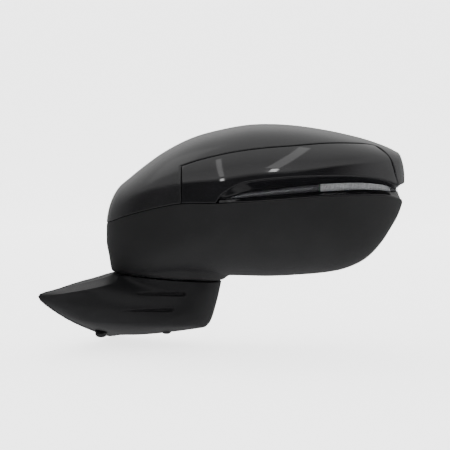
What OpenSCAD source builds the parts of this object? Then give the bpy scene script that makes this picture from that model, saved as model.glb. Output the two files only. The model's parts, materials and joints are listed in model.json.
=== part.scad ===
// Powered folding side mirror for a car, with a turn lamp in its shell.
// +X runs outboard along the head, +Y towards the rear of the car (the glass side), +Z up.
// The origin is the middle of the face that seats on the door.

/* [Head] */
// Inboard end of the head
head_x0 = 21; // [10:0.5:40]
// Outboard end of the head
head_x1 = 275; // [220:0.5:320]
// Squareness of the head seen from the front
outline_power = 5; // [3:0.5:8]
// Fullness of the front of the head
front_power = 2.6; // [2:0.1:4]
// Where the front's curve ends and the straight band begins
mid_y = 10; // [0:1:20]
// Rear edge of the shell
rim_y = 41; // [36:0.5:46]
// How far the shell draws in at its rear edge
rim_taper = 2.5; // [0:0.5:5]
// Thickness of the shell's walls
wall = 2.5; // [2:0.1:4]
// Gap between neighbouring panels
panel_gap = 0.6; // [0.2:0.1:1.5]

/* [Fold] */
// Distance of the fold axis outboard of the door's middle
fold_x = 73; // [60:0.5:90]
// Height of the seam between head and foot on the fold axis
fold_z = 25.3; // [15:0.1:40]
// Lean of the fold axis towards outboard, in degrees
fold_lean = 4.75; // [0:0.25:10]
// Half of the neck's length
neck_a = 46.3; // [30:0.1:60]
// Half of the neck's width
neck_b = 33; // [20:0.1:45]
// Gap between head and foot
seam_gap = 1.5; // [0.6:0.1:3]
// Radius of the hollow fold shaft
shaft_r = 11; // [8:0.5:14]
// Angle between the door's face and the line of the car, in degrees
door_turn = 25; // [0:1:40]

/* [Glass] */
// Middle of the glass along the head
glass_x = 174; // [165:1:180]
// Half of the glass's length
glass_half = 82; // [60:1:90]
// Margin between the head's outline and the glass
glass_margin = 12; // [8:0.5:20]
// Gap round the glass
glass_gap = 3; // [1:0.5:6]
// Mirror glass thickness
glass_t = 2; // [1.5:0.1:3]

/* [Tilt drive] */
// Height of the glass's pivot
pivot_z = 91; // [80:1:100]
// Depth of the glass's pivot
pivot_y = 26; // [20:0.5:30]
// Distance of each jack screw from the pivot
jack_r = 30; // [20:1:40]

/* [Hidden] */
$fn = 48;
tiny = 0.05;
run_gap = 0.05;
shell_step = 24;
head_mid = (head_x0 + head_x1) / 2;
head_half = (head_x1 - head_x0) / 2;
deck_z = seam_gap / 2;

// ---- Lines of the head, as points of smooth curves: [x, z] or [x, size] ----
CENTRE = [[21, 60], [90, 78], [160, 90], [230, 97], [275, 101]];
TOP_SIZE = [[21, 31], [25, 40.5], [31, 46], [40, 48], [52, 52], [70, 58.2], [95, 64], [120, 66],
    [145, 66], [175, 61.8], [205, 55.2], [235, 47.3], [255, 42], [266, 40], [271, 40], [275, 30]];
BOTTOM_SIZE = [[21, 18], [24, 30], [30, 46], [45, 50], [90, 54], [125, 59], [160, 65], [190, 67],
    [215, 67], [230, 65], [243, 60.5], [255, 51], [263, 41], [269, 32.5], [275, 17]];
DEPTH = [[21, 64], [75, 68], [145, 68], [225, 62], [275, 54]];
// Line where the cap and the lower cover meet, then the lower lip of the lamp's scoop
SEAM = [[21, 70.5], [35, 76.5], [53, 82.5], [84, 89.5], [115, 90.3], [160, 92.8], [190, 94.8],
    [212, 96], [257, 95.5], [274, 91]];
// Upper lip of the scoop, which is the trim's lower edge
LIP = [[114.5, 90.6], [119, 97], [128, 103.1], [139, 107.6], [170, 111.2], [193, 112.1], [229, 111.7],
    [248, 109.5], [259, 107], [267, 103.8], [275, 103.2]];
// Upper edge of the trim
TRIM_TOP = [[86, 120.5], [103, 126], [127, 131.5], [152, 135], [178, 137], [208, 139], [233, 138.6],
    [247, 137], [253.5, 133.5]];
trim_x0 = 86;
scoop_x0 = 114.5;

// ---- Small mathematics ----
function unit(v) = v / max(norm(v), 1e-9);
function mix(a, b, t) = a + (b - a) * t;
function clamp(v, a, b) = min(max(v, a), b);
function ease(t) = let (c = clamp(t, 0, 1)) c * c * (3 - 2 * c);
function join(lists) = [for (part = lists) for (item = part) item];
function slope(T, i) =
    let (a = max(i - 1, 0), b = min(i + 1, len(T) - 1)) (T[b][1] - T[a][1]) / (T[b][0] - T[a][0]);
function span(x, T, i = 0) = i >= len(T) - 2 || x < T[i + 1][0] ? i : span(x, T, i + 1);
// Value at x of the smooth curve through the points of T
function bend(x, T) =
    let (c = clamp(x, T[0][0], T[len(T) - 1][0]), i = span(c, T), h = T[i + 1][0] - T[i][0],
         t = (c - T[i][0]) / h, t2 = t * t, t3 = t2 * t)
    (2 * t3 - 3 * t2 + 1) * T[i][1] + (t3 - 2 * t2 + t) * h * slope(T, i)
        + (3 * t2 - 2 * t3) * T[i + 1][1] + (t3 - t2) * h * slope(T, i + 1);
function spline(a, b, c, d, t) =
    b + 0.5 * t * (c - a + t * (2 * a - 5 * b + 4 * c - d + t * (3 * (b - c) + d - a)));

// ---- The head's surface ----
function side_of(x) = (x - head_mid) / head_half;
function size_at(x, up) = bend(x, up ? TOP_SIZE : BOTTOM_SIZE);
function reach(x, z) =
    let (dz = z - bend(x, CENTRE))
    pow(pow(abs(side_of(x)), outline_power)
        + pow(abs(dz) / size_at(x, dz > 0), outline_power), 1 / outline_power);
function front_y(x, z) =
    mid_y - bend(x, DEPTH) * pow(max(0, 1 - pow(reach(x, z), front_power)), 1 / front_power);
function front_at(x, z) = [x, front_y(x, z), z];
function skin(p) =
    pow(reach(p.x, p.z), front_power)
        + pow(max(0, mid_y - p.y) / bend(p.x, DEPTH), front_power);
function skin_step(p, d) = skin(p + d) - skin(p - d);
function skin_out(p) =
    unit([skin_step(p, [tiny, 0, 0]), skin_step(p, [0, tiny, 0]), skin_step(p, [0, 0, tiny])]);
// Point of the outline in direction d, both as fractions of the half sizes
function outline_at(d) =
    d / pow(pow(abs(d.x), outline_power) + pow(abs(d.y), outline_power), 1 / outline_power);
function above(x) = outline_top(side_of(x), 1);
function below(x) = outline_top(side_of(x), -1);
function outline_top(u, way) =
    [u, way * pow(1 - pow(abs(u), outline_power), 1 / outline_power)];
function place(uv) =
    let (x = head_mid + head_half * uv.x) [x, bend(x, CENTRE) + uv.y * size_at(x, uv.y > 0)];
function fraction(xz) =
    let (dz = xz[1] - bend(xz[0], CENTRE)) [side_of(xz[0]), dz / size_at(xz[0], dz > 0)];
// Point at w of a shell column: from its start over the front (0 to 1), then back along the band
function shell_point(from, to, w) =
    let (uv = mix(from, to, 1 - pow(max(0, 1 - w), 2.4)), xz = place(uv), q = max(0, w - 1))
    w <= 1 ? front_at(xz[0], xz[1])
        : [xz[0] - rim_taper * q * q * to.x * pow(abs(to.x), 4), mix(mid_y, rim_y, q),
           xz[1] - rim_taper * q * q * to.y * pow(abs(to.y), 4)];
function shell_lengths(from, to) =
    let (pts = [for (i = [0 : shell_step]) shell_point(from, to, 2 * i / shell_step)])
    [for (i = 0, s = 0; i <= shell_step;
          i = i + 1, s = s + (i <= shell_step ? norm(pts[i] - pts[i - 1]) : 0))
        [s, 2 * i / shell_step]];
// A column's points at the given fractions of its length
function shell_column(from, to, stops) =
    let (table = shell_lengths(from, to), total = table[shell_step][0])
    [for (f = stops) shell_point(from, to, lookup(f * total, table))];
function flip(grid) = [for (i = [0 : len(grid[0]) - 1]) [for (column = grid) column[i]]];
function inward(grid, depth) = [for (row = grid) [for (p = row) p - depth * skin_out(p)]];

// ---- Sheets: an outer and an inner grid of points, closed round the edges of the live cells ----
function live(mask, i, j, rows, cols, ring) =
    let (k = ring ? (j + cols) % cols : j)
    i >= 0 && i < rows - 1 && k >= 0 && k < (ring ? cols : cols - 1)
        && (is_undef(mask) || mask[i][k]);
module sheet(outer, inner, mask = undef, ring = false, turned = false) {
    rows = len(outer);
    cols = len(outer[0]);
    back = rows * cols;
    function at(i, j) = i * cols + (j % cols);
    function pair(a, b, c, d) = [[a, b, c], [a, c, d]];
    cells = [for (i = [0 : rows - 2]) for (j = [0 : (ring ? cols - 1 : cols - 2)])
        if (live(mask, i, j, rows, cols, ring)) [i, j]];
    tris = join([for (c = cells)
        let (i = c[0], j = c[1], a = at(i, j), b = at(i, j + 1), d = at(i + 1, j),
             e = at(i + 1, j + 1))
        concat(
            pair(a, b, e, d),
            pair(back + a, back + d, back + e, back + b),
            live(mask, i - 1, j, rows, cols, ring) ? [] : pair(a, back + a, back + b, b),
            live(mask, i + 1, j, rows, cols, ring) ? [] : pair(e, back + e, back + d, d),
            live(mask, i, j - 1, rows, cols, ring) ? [] : pair(d, back + d, back + a, a),
            live(mask, i, j + 1, rows, cols, ring) ? [] : pair(b, back + b, back + e, e))]);
    polyhedron(concat(join(outer), join(inner)),
        turned ? [for (t = tris) [t[0], t[2], t[1]]] : tris);
}

// ---- Frames ----
module on_axis() translate([fold_x, 0, fold_z]) rotate([0, fold_lean, 0]) children();
module on_door() rotate([0, 0, -door_turn]) children();
module facing_door() on_door() rotate([0, 90, 0]) children();
module towards_rear() rotate([-90, 0, 0]) children();
module at_pivot() translate([glass_x, pivot_y, pivot_z]) children();
axis_z = [sin(fold_lean), 0, cos(fold_lean)];
axis_x = [cos(fold_lean), 0, -sin(fold_lean)];
axis_at = [fold_x, 0, fold_z];
function to_axis(p) = [(p - axis_at) * axis_x, p.y, (p - axis_at) * axis_z];
function from_axis(q) = axis_at + q.x * axis_x + [0, q.y, 0] + q.z * axis_z;
function from_door(q) =
    [q.x * cos(door_turn) + q.y * sin(door_turn), q.y * cos(door_turn) - q.x * sin(door_turn), q.z];
function to_door(p) =
    [p.x * cos(door_turn) - p.y * sin(door_turn), p.x * sin(door_turn) + p.y * cos(door_turn), p.z];

// ---- Repeated shapes ----
module tube(r_out, r_in, z0, z1) {
    translate([0, 0, z0]) difference() {
        cylinder(r = r_out, h = z1 - z0);
        translate([0, 0, -1]) cylinder(r = r_in, h = z1 - z0 + 2);
    }
}
module disc(r, z0, z1) translate([0, 0, z0]) cylinder(r = r, h = z1 - z0);
module block(low, high) translate(low) cube(high - low);
// Plate lying across Y between two depths, from points [x, z]
module across(y0, y1) translate([0, y1, 0]) rotate([90, 0, 0]) linear_extrude(y1 - y0) children();
// Toothed wheel about Z with its first tooth turned by phase
module toothed(teeth, pitch_r, bore_r, z0, z1, phase = 0) {
    m = 2 * pitch_r / teeth;
    step = 360 / teeth;
    tooth = [[-0.32, -0.9], [-0.12, 0.75], [0.12, 0.75], [0.32, -0.9]];
    translate([0, 0, z0]) linear_extrude(z1 - z0) difference() {
        polygon([for (i = [0 : teeth - 1]) for (t = tooth)
            let (a = phase + (i + t[0]) * step, r = pitch_r + t[1] * m) [r * cos(a), r * sin(a)]]);
        circle(r = bore_r);
    }
}
// Wire of radius wire_r wound about Z
module coil(r, wire_r, z0, z1, turns, per_turn = 14, sides = 6) {
    n = turns * per_turn;
    rings = [for (i = [0 : n]) [for (k = [0 : sides - 1])
        let (a = 360 * i / per_turn, b = 360 * k / sides, d = r + wire_r * cos(b))
        [d * cos(a), d * sin(a), mix(z0, z1, i / n) + wire_r * sin(b)]]];
    side_faces = join([for (i = [0 : n - 1]) join([for (k = [0 : sides - 1])
        let (a = i * sides + k, b = i * sides + (k + 1) % sides)
        [[a, a + sides, b + sides], [a, b + sides, b]]])]);
    polyhedron(join(rings), concat(side_faces,
        [[for (k = [0 : sides - 1]) k]], [[for (k = [sides - 1 : -1 : 0]) n * sides + k]]));
}
// Screw about Z: head above z = 0, shank below
module screw(head_r, head_h, shank_r, length) {
    difference() {
        disc(head_r, 0, head_h);
        translate([0, 0, head_h - 1.2]) cylinder(r = shank_r * 0.7, h = 3, $fn = 6);
    }
    disc(shank_r, -length, 0);
}
// Worm about Z: shaft with ridges in place of its thread
module worm(core_r, thread_r, z0, z1, ridges, shaft_r, s0, s1) {
    pitch = (z1 - z0) / ridges;
    crest = 0.2 * pitch;
    rotate_extrude() polygon(concat([[0, s0], [shaft_r, s0], [shaft_r, z0]],
        join([for (i = [0 : ridges - 1]) let (m = z0 + (i + 0.5) * pitch)
            [[core_r, m - 2 * crest], [thread_r, m - crest], [thread_r, m + crest],
             [core_r, m + 2 * crest]]]),
        [[shaft_r, z1], [shaft_r, s1], [0, s1]]));
}

// ================= Head shell =================
cap_rows_low = 4;
cap_rows_high = 8;
left_rim = outline_at([-1, 0.339]);
cap_right_rim = outline_at([1, 0.11]);
// Starts [x, z] of the columns inboard of the trim, and the outline points they run to
cap_left_x = [24, 29, 36, 44, 52, 60, 68, 77, trim_x0];
cap_left_to = concat([outline_at([-1, 0.55]), outline_at([-1, 0.8]), outline_at([-0.97, 1]),
    outline_at([-0.85, 1]), outline_at([-0.76, 1])], [for (x = [60, 68, 77, trim_x0]) above(x)]);
cap_mid_x = [95, 105, 117, 129, 141, 153, 165, 178, 191, 205, 219, 233];
cap_right = [[244, 137.6], [251, 135.4], [256, 131.6], [260.5, 126], [263.8, 118.6], [265.6, 111.6],
    [266.8, 107], [269.2, 103.2]];
cap_right_to = [for (d = [[0.8, 1], [0.88, 1], [0.96, 1], [1, 0.9], [1, 0.66], [1, 0.42],
    [1, 0.3], [1, 0.18]]) outline_at(d)];
function evenly(a, b, n) = [for (i = [0 : n]) mix(a, b, i / n)];
// Fraction of a straight column's length at which it passes height z
function stop_at(from, to, z) =
    let (share = (z - place(from)[1]) / (place(to)[1] - place(from)[1]),
         w = 1 - pow(1 - share, 1 / 2.4), table = shell_lengths(from, to),
         turned_table = [for (t = table) [t[1], t[0]]])
    lookup(w, turned_table) / table[shell_step][0];
trim_corner_stop = stop_at(fraction([trim_x0, bend(trim_x0, SEAM) + panel_gap / 2]),
    above(trim_x0), bend(trim_x0, TRIM_TOP) + panel_gap / 2);
cap_left_stops = concat(evenly(0, trim_corner_stop, cap_rows_low),
    [for (i = [1 : cap_rows_high]) mix(trim_corner_stop, 1, i / cap_rows_high)]);
cap_right_stops = concat([for (i = [1 : cap_rows_low]) 0], evenly(0, 1, cap_rows_high));
cap_left_grid = concat(
    [shell_column(left_rim, left_rim, cap_left_stops)],
    [for (i = [0 : len(cap_left_x) - 1])
        shell_column(fraction([cap_left_x[i], bend(cap_left_x[i], SEAM) + panel_gap / 2]),
            cap_left_to[i], cap_left_stops)]);
cap_right_grid = concat(
    [for (x = cap_mid_x)
        shell_column(fraction([x, bend(x, TRIM_TOP) + panel_gap / 2]), above(x), cap_right_stops)],
    [for (i = [0 : len(cap_right) - 1])
        shell_column(fraction(cap_right[i]), cap_right_to[i], cap_right_stops)],
    [shell_column(cap_right_rim, cap_right_rim, cap_right_stops)]);
cap_grid = flip(concat(cap_left_grid, cap_right_grid));
module upper_cap() {
    mask = [for (i = [0 : len(cap_grid) - 2]) [for (j = [0 : len(cap_grid[0]) - 2])
        i >= cap_rows_low || j < len(cap_left_grid) - 1]];
    color("#101114") sheet(cap_grid, inward(cap_grid, wall), mask);
}

trim_rows = 5;
trim_x = [trim_x0 + panel_gap, 94, 104, 113, 116, 119, 123, 128, 134, 141, 151, 163, 176, 190, 204,
    218, 231, 242, 250];
trim_end = [[256, 107.8, 258.6, 128], [260.4, 106.3, 262.4, 119], [263.7, 105, 264.6, 111],
    [266.2, 103.9, 266.5, 105.4]];
function trim_low(x) = x < scoop_x0 ? bend(x, SEAM) + panel_gap / 2 : bend(x, LIP);
trim_ends = concat(
    [for (x = trim_x) [x, trim_low(x), x, bend(x, TRIM_TOP) - panel_gap / 2]], trim_end);
trim_grid = [for (i = [0 : trim_rows]) [for (e = trim_ends)
    let (t = i / trim_rows) front_at(mix(e[0], e[2], t), mix(e[1], e[3], t))]];
module front_trim() {
    color("#0d0e11") sheet(trim_grid, inward(trim_grid, wall - 0.3));
}

cover_rows = 15;
cover_left_x = [24, 29, 36, 44, 52, 60, 68];
cover_left_to = [for (d = [[-1, 0.05], [-1, -0.3], [-1, -0.6], [-1, -0.85], [-0.94, -1],
    [-0.82, -1], [-0.7, -1]]) outline_at(d)];
cover_mid_x = [76, 83, 90, 97, 104, 111, 118, 126, 138, 150, 162, 174, 186, 198, 210, 222, 233];
cover_right_x = [242, 250, 257, 263, 268, 271.5];
cover_right_to = [for (d = [[0.75, -1], [0.83, -1], [0.91, -1], [1, -1], [1, -0.88],
    [1, -0.74]]) outline_at(d)];
cover_left_rim = outline_at([-1, 0.32]);
cover_right_rim = outline_at([1, -0.62]);
function cover_start(x) = fraction([x, bend(x, SEAM) - panel_gap / 2]);
// The cover's underside gathers into an oval collar that stands on the foot's deck
collar_h = 2.6;
collar_top = 18;
collar_fade = 13;
collar_hole = 0.88;
function neck_reach(q) = norm([q.x / neck_a, q.y / neck_b]);
function collar(p) =
    let (q = to_axis(p), r = neck_reach(q), free = max(q.z, deck_z + collar_h),
         low = ease((collar_top - q.z) / collar_fade), drawn = mix(deck_z, free, ease((r - 1) / 0.15)),
         grow = low > 0 ? max(1, collar_hole / max(r, 0.01)) : 1)
    from_axis([q.x * grow, q.y * grow, mix(free, drawn, low)]);
cover_raw = flip(concat(
    [shell_column(cover_left_rim, cover_left_rim, evenly(0, 1, cover_rows))],
    [for (i = [0 : len(cover_left_x) - 1])
        shell_column(cover_start(cover_left_x[i]), cover_left_to[i], evenly(0, 1, cover_rows))],
    [for (x = cover_mid_x) shell_column(cover_start(x), below(x), evenly(0, 1, cover_rows))],
    [for (i = [0 : len(cover_right_x) - 1])
        shell_column(cover_start(cover_right_x[i]), cover_right_to[i], evenly(0, 1, cover_rows))],
    [shell_column(cover_right_rim, cover_right_rim, evenly(0, 1, cover_rows))]));
function in_hole(p) = let (q = to_axis(p)) neck_reach(q) < collar_hole && q.z < 14;
module lower_cover() {
    mask = [for (i = [0 : len(cover_raw) - 2]) [for (j = [0 : len(cover_raw[0]) - 2])
        !(in_hole(cover_raw[i][j]) && in_hole(cover_raw[i + 1][j])
            && in_hole(cover_raw[i][j + 1]) && in_hole(cover_raw[i + 1][j + 1]))]];
    inner = [for (row = cover_raw) [for (p = row) collar(p) - wall * skin_out(p)]];
    color("#3a3b3d")
        sheet([for (row = cover_raw) [for (p = row) collar(p)]], inner, mask, turned = true);
}

// ================= Lamp in the scoop =================
LENS_TOP = [[121, 94.4], [130, 96.5], [138, 99.3], [152, 100.9], [165, 102.2], [200, 105],
    [237, 105.8], [258, 103.6], [268, 100.8], [275, 100]];
LENS_LOW = [[121, 93.4], [130, 94], [152, 95.6], [175, 97.2], [197, 98.9], [212, 99.7],
    [237, 100.4], [258, 99.4], [268, 97.6], [275, 97.2]];
scoop_depth = 9;
scoop_end_depth = 5.5;
guide_x1 = 196;
reflector_x0 = 198;
// Places along the scoop: first x along the front, then y along the outboard side
lamp_front = [121, 125, 130, 136, 143, 152, 162, 173, 185, 197, 209, 221, 232, 242, 251, 259, 266];
lamp_corner = [270, 272.8, 274.4];
lamp_side = [14, 22, 29, 35.5];
lamp_stations = concat([for (x = concat(lamp_front, lamp_corner)) [x, undef]],
    [for (y = lamp_side) [head_x1, y]]);
lens_stations = [for (st = lamp_stations) if (st[0] > 121 && st[0] < 274 && is_undef(st[1])) st];
// End of the head at height z
function end_x(z, x = head_x1 - 1, tries = 4) = tries == 0 ? x
    : let (dz = z - bend(x, CENTRE), v = abs(dz) / size_at(x, dz > 0))
      end_x(z, head_mid + head_half * pow(1 - pow(min(v, 0.99), outline_power),
          1 / outline_power), tries - 1);
function lamp_skin(st, z) = is_undef(st[1]) ? front_at(st[0], z)
    : let (q = (st[1] - mid_y) / (rim_y - mid_y)) [end_x(z) - rim_taper * q * q, st[1], z];
function lamp_point(st, z, depth) = let (p = lamp_skin(st, z)) p - depth * skin_out(p);
function lamp_depth(st) =
    scoop_depth * (0.35 + 0.65 * ease((st[0] - lamp_front[0]) / 30))
        - (scoop_depth - scoop_end_depth) * ease((st[0] - 235) / 30);
function lamp_high(st) = bend(st[0], LENS_TOP);
function lamp_low(st) = bend(st[0], LENS_LOW);
function lamp_middle(st) = (lamp_high(st) + lamp_low(st)) / 2;
function lamp_sheet(stations, rows) =
    flip([for (st = stations) [for (r = rows(st)) lamp_point(st, r[1], r[0])]]);
function channel_face(st) =
    let (u = bend(st[0], LIP), l = bend(st[0], SEAM), d = lamp_depth(st))
    [[1, u - 1.7], [3, u - 2], [d, lamp_high(st)], [d, lamp_low(st)], [3, l + 2], [1, l + 1.7]];
function channel_back(st) =
    let (u = bend(st[0], LIP), l = bend(st[0], SEAM), d = lamp_depth(st))
    [[1, u - 0.5], [3.6, u - 0.8], [d + 1.4, lamp_high(st) + 0.8],
     [d + 1.4, lamp_low(st) - 0.8], [3.6, l + 0.8], [1, l + 0.5]];
module lamp_channel() {
    last_window = len(lens_stations);
    window = [for (i = [0 : 4]) [for (j = [0 : len(lamp_stations) - 2])
        i != 2 || j == 0 || j > last_window - 1]];
    color("#141517") sheet(lamp_sheet(lamp_stations, function (st) channel_face(st)),
        lamp_sheet(lamp_stations, function (st) channel_back(st)), window);
}
function strip(st, front, overlap, crown) =
    let (d = lamp_depth(st) + front, a = lamp_high(st), b = lamp_low(st), c = (a + b) / 2)
    [[d, a + overlap], [d - crown, a - 0.5], [d - crown - 0.3, c], [d - crown, b + 0.5],
     [d, b - overlap]];
module lamp_lens() {
    color("#d8dde2", 0.5)
        sheet(lamp_sheet(lens_stations, function (st) strip(st, 1.8, 0.9, 1)),
            lamp_sheet(lens_stations, function (st) strip(st, 3.2, 0.9, 1)));
}
module lamp_light_guide() {
    stations = [for (st = lens_stations) if (st[0] <= guide_x1) st];
    r = 1;
    sides = 8;
    behind_lens = 5;
    turn = 360 / sides;
    rings = [for (st = stations) [for (k = [0 : sides - 1])
        lamp_point(st, lamp_middle(st), lamp_depth(st) + behind_lens)
            + [0, r * cos(turn * k), r * sin(turn * k)]]];
    n = len(stations);
    skin_faces = join([for (i = [0 : n - 2]) join([for (k = [0 : sides - 1])
        let (a = i * sides + k, b = i * sides + (k + 1) % sides)
        [[a, b + sides, a + sides], [a, b, b + sides]]])]);
    color("#e8ecef", 0.6) polyhedron(join(rings), concat(skin_faces,
        [[for (k = [sides - 1 : -1 : 0]) k]],
        [[for (k = [0 : sides - 1]) (n - 1) * sides + k]]));
}
function trough(st, front, back, out) =
    let (d = lamp_depth(st), a = lamp_high(st), b = lamp_low(st))
    [[d + front, a + out], [d + back, a + out], [d + back, b - out], [d + front, b - out]];
reflector_front = 4.2;
reflector_back = 8.4;
housing_front = 3.8;
housing_back = 13;
board_front = 11.6;
board_t = 1.1;
module lamp_reflector() {
    stations = [for (x = [reflector_x0, 209, 221, 232, 242, 251, 259]) [x, undef]];
    color("#e6e8ea") sheet(lamp_sheet(stations, function (st) trough(st, reflector_front, reflector_back, 1)),
        lamp_sheet(stations, function (st) trough(st, reflector_front, reflector_back + 1, 2)));
}
module lamp_housing() {
    stations = [for (x = lamp_front) if (x > 126) [x, undef]];
    color("#222326") sheet(lamp_sheet(stations, function (st) trough(st, housing_front, housing_back, 2.6)),
        lamp_sheet(stations, function (st)
            trough(st, housing_front, housing_back + 1.6, 4.2)));
}
module lamp_circuit_board() {
    function at_depth(st, d) = [[d, lamp_high(st) + 1.6], [d, lamp_low(st) - 1.6]];
    stations = [for (x = [205, 216, 228, 240, 251]) [x, undef]];
    color("#2f6b3c")
        sheet(lamp_sheet(stations, function (st) at_depth(st, lamp_depth(st) + board_front)),
            lamp_sheet(stations, function (st)
                at_depth(st, lamp_depth(st) + board_front + board_t)));
}
module lamp_leds() {
    led = 1.6;
    color("#f4efcf") for (x = [210, 222, 234, 246])
        translate(lamp_point([x, undef], lamp_middle([x, undef]), lamp_depth([x, undef]) + 10.5))
            cube(led, center = true);
}

// ================= Foot =================
cover_t = 2.6;
plate_t = 6;
gasket_t = 2;
foot_turns = 5;
foot_steps = 4;
deck_hole = 24;
turret_r = 23.5;
// Outline on the door, as [along the door, up], from the front tip under to the rear and back
FOOTPRINT = [[-70.5, 14.4], [-38, -3.6], [8, -20.6], [57, -32.6], [74, -14], [62, 19.5], [15, 21.2],
    [-38, 18]];
// From each of those points the foot runs through four places to this angle of the neck's oval
FOOT_PLACES = [
    [[-8, -56, 16.5], [10, -49, 19], [22, -40, 21], [30, -29, 23]],
    [[10, -42, -9], [55, -41, -10], [86, -37, -4], [92, -33, 12]],
    [[42, -8, -23.8], [92, -18, -17.8], [106.6, -16, -13.2], [112.6, -16, 4]],
    [[50, 34, -26.8], [92, 14, -19.8], [105.5, 10, -14.6], [112.6, 12, 3.5]],
    [[50, 58, -10], [75, 46, -5], [88, 38, 2], [91, 34, 12]],
    [[33, 54, 21], [39, 46, 22], [44, 40, 23], [48, 33, 24.5]],
    [[10, 14, 22.5], [15, 12, 24], [20, 10.5, 25.8], [24.5, 9.5, 27.3]],
    [[-9, -32, 19.5], [1, -28, 21.4], [12, -24, 23.6], [22, -19, 26]]];
NECK_TURN = [-150, -65, -30, 25, 70, 120, 165, 190];
foot_n = len(FOOTPRINT);
function wrap(T, i) = T[(i + foot_n) % foot_n];
function round_trip(T, i, t) =
    spline(wrap(T, i - 1), wrap(T, i), wrap(T, i + 1), wrap(T, i + 2), t);
function neck_angle(i) = wrap(NECK_TURN, i) + (i < 0 ? -360 : i >= foot_n ? 360 : 0);
function neck_turn_at(i, t) =
    spline(neck_angle(i - 1), neck_angle(i), neck_angle(i + 1), neck_angle(i + 2), t);
function oval(turn, grow, z) =
    from_axis([neck_a * grow * cos(turn), neck_b * grow * sin(turn), z]);
function under_seam(p, down = 0) = let (q = to_axis(p)) from_axis([q.x, q.y, min(q.z, -deck_z - down)]);
function off_door(p) = let (q = to_door(p)) from_door([max(q.x, gasket_t / 2), q.y, q.z]);
foot_controls = [for (s = [0 : foot_n * foot_turns - 1])
    let (i = floor(s / foot_turns), t = (s % foot_turns) / foot_turns,
         door = round_trip(FOOTPRINT, i, t), turn = neck_turn_at(i, t))
    concat([from_door([gasket_t / 2, door[0], door[1]])],
        [for (k = [0 : 3]) round_trip([for (row = FOOT_PLACES) row[k]], i, t)],
        [oval(turn, 1, -deck_z)])];
function foot_run(c) =
    let (n = len(c) - 1)
    [for (i = [0 : n - 1]) for (s = [0 : foot_steps - 1])
        spline(c[max(i - 1, 0)], c[i], c[i + 1], c[min(i + 2, n)], s / foot_steps)];
foot_side = flip([for (c = foot_controls) [for (p = foot_run(c)) under_seam(p)]]);
foot_turn = [for (s = [0 : foot_n * foot_turns - 1])
    neck_turn_at(floor(s / foot_turns), (s % foot_turns) / foot_turns)];
foot_outer = concat(foot_side, [[for (t = foot_turn) oval(t, 1, -deck_z)]],
    [[for (t = foot_turn) from_axis([deck_hole * cos(t), deck_hole * sin(t), -deck_z])]]);
function ring_out(grid, i, j) =
    let (n = len(grid[0]), rows = len(grid),
         along = grid[min(i + 1, rows - 1)][j] - grid[max(i - 1, 0)][j],
         across = grid[i][(j + 1) % n] - grid[i][(j + n - 1) % n])
    unit(cross(along, across));
foot_inner = concat(
    [for (i = [0 : len(foot_side) - 1]) [for (j = [0 : len(foot_turn) - 1])
        off_door(under_seam(foot_side[i][j] + cover_t * ring_out(foot_side, i, j), cover_t))]],
    [[for (t = foot_turn) oval(t, 0.93, -deck_z - cover_t)]],
    [[for (t = foot_turn)
        from_axis([deck_hole * cos(t), deck_hole * sin(t), -deck_z - cover_t])]]);
module base_cover() {
    color("#2b2c2e") difference() {
        sheet(foot_outer, foot_inner, ring = true);
        for (p = base_screw_places) translate([p[0], p[1], p[2]])
            disc(base_screw_r + 0.2, 0, 12);
    }
}

stud_r = 3;
stud_length = 16;
stud_shoulder_r = 3.8;
stud_head_r = 5.5;
peg_r = 4;
peg_length = 6;
peg_root_r = 5;
peg_root = 4;
stud_places = [[-16, 4], [51, 6], [53, -16]];
peg_places = [[-34, 7], [34, -10]];
grommet_place = [8, 0];
grommet_r = 6;
arm_low = [plate_t - 1, 19, -13];
arm_high = [66, 43, 5];
flange_r = 18;
flange_low = -18;
flange_high = -14;
shaft_top = 47;
shaft_bore = 7.5;
screw_ring = 14.6;
tapped_r = 2.05;
arm_pocket = [[6, 23, -8], [50, 39, 0]];
// Each place, then the head's height and radius
base_screw_places = [[16, 6, -25.5, 2.8, 5.2], [72.5, -12, -23.2, 1.2, 4.6]];
base_screw_r = 2;
module at_door(place) on_door() translate([0, place[0], place[1]]) rotate([0, 90, 0]) children();
module around_axis(r, n, from = 0) for (i = [0 : n - 1]) rotate(from + i * 360 / n)
    translate([r, 0, 0]) children();
module base_bracket() {
    plate = [[-56, 11.5], [-36, 1.5], [6, -12.5], [54, -24.5], [64, -13], [56, 13], [15, 14.5],
        [-36, 12.5]];
    color("#8d9094") difference() {
        union() {
            facing_door() linear_extrude(plate_t) polygon([for (p = plate) [-p[1], p[0]]]);
            on_door() block(arm_low, arm_high);
            on_axis() disc(turret_r, -32, -deck_z);
        }
        on_axis() {
            disc(shaft_r + run_gap, -33, 1);
            disc(flange_r + 0.4, -40, flange_high);
            around_axis(screw_ring, 3) disc(tapped_r, flange_high - 1, -4);
        }
        for (p = stud_places) at_door(p) disc(stud_shoulder_r, -1, plate_t + 1);
        for (p = peg_places) at_door(p) disc(peg_root_r, -1, peg_root);
        at_door(grommet_place) disc(grommet_r + 2, -1, plate_t + 1);
        on_door() block(arm_pocket[0], arm_pocket[1]);
    }
}
module door_gasket() {
    module print(up, along) polygon([for (i = [0 : foot_n - 1]) for (t = [0 : 3])
        let (p = round_trip(FOOTPRINT, i, t / 4)) [-p[1] * up, p[0] * along]]);
    lip = 1.02;
    color("#17181a") facing_door() linear_extrude(gasket_t / 2 - 0.1) difference() {
        print(lip, lip);
        print(0.78, 0.9);
    }
}
module mounting_studs() {
    color("#b9bcc0") for (p = stud_places) at_door(p) {
        disc(stud_r, -stud_length, 0);
        disc(stud_shoulder_r, 0, plate_t);
        disc(stud_head_r, plate_t, plate_t + 2);
    }
}
module locating_pegs() {
    color("#8d9094") for (p = peg_places) at_door(p) {
        disc(peg_root_r, 0, peg_root);
        disc(peg_r, -peg_length, 0);
    }
}
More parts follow.
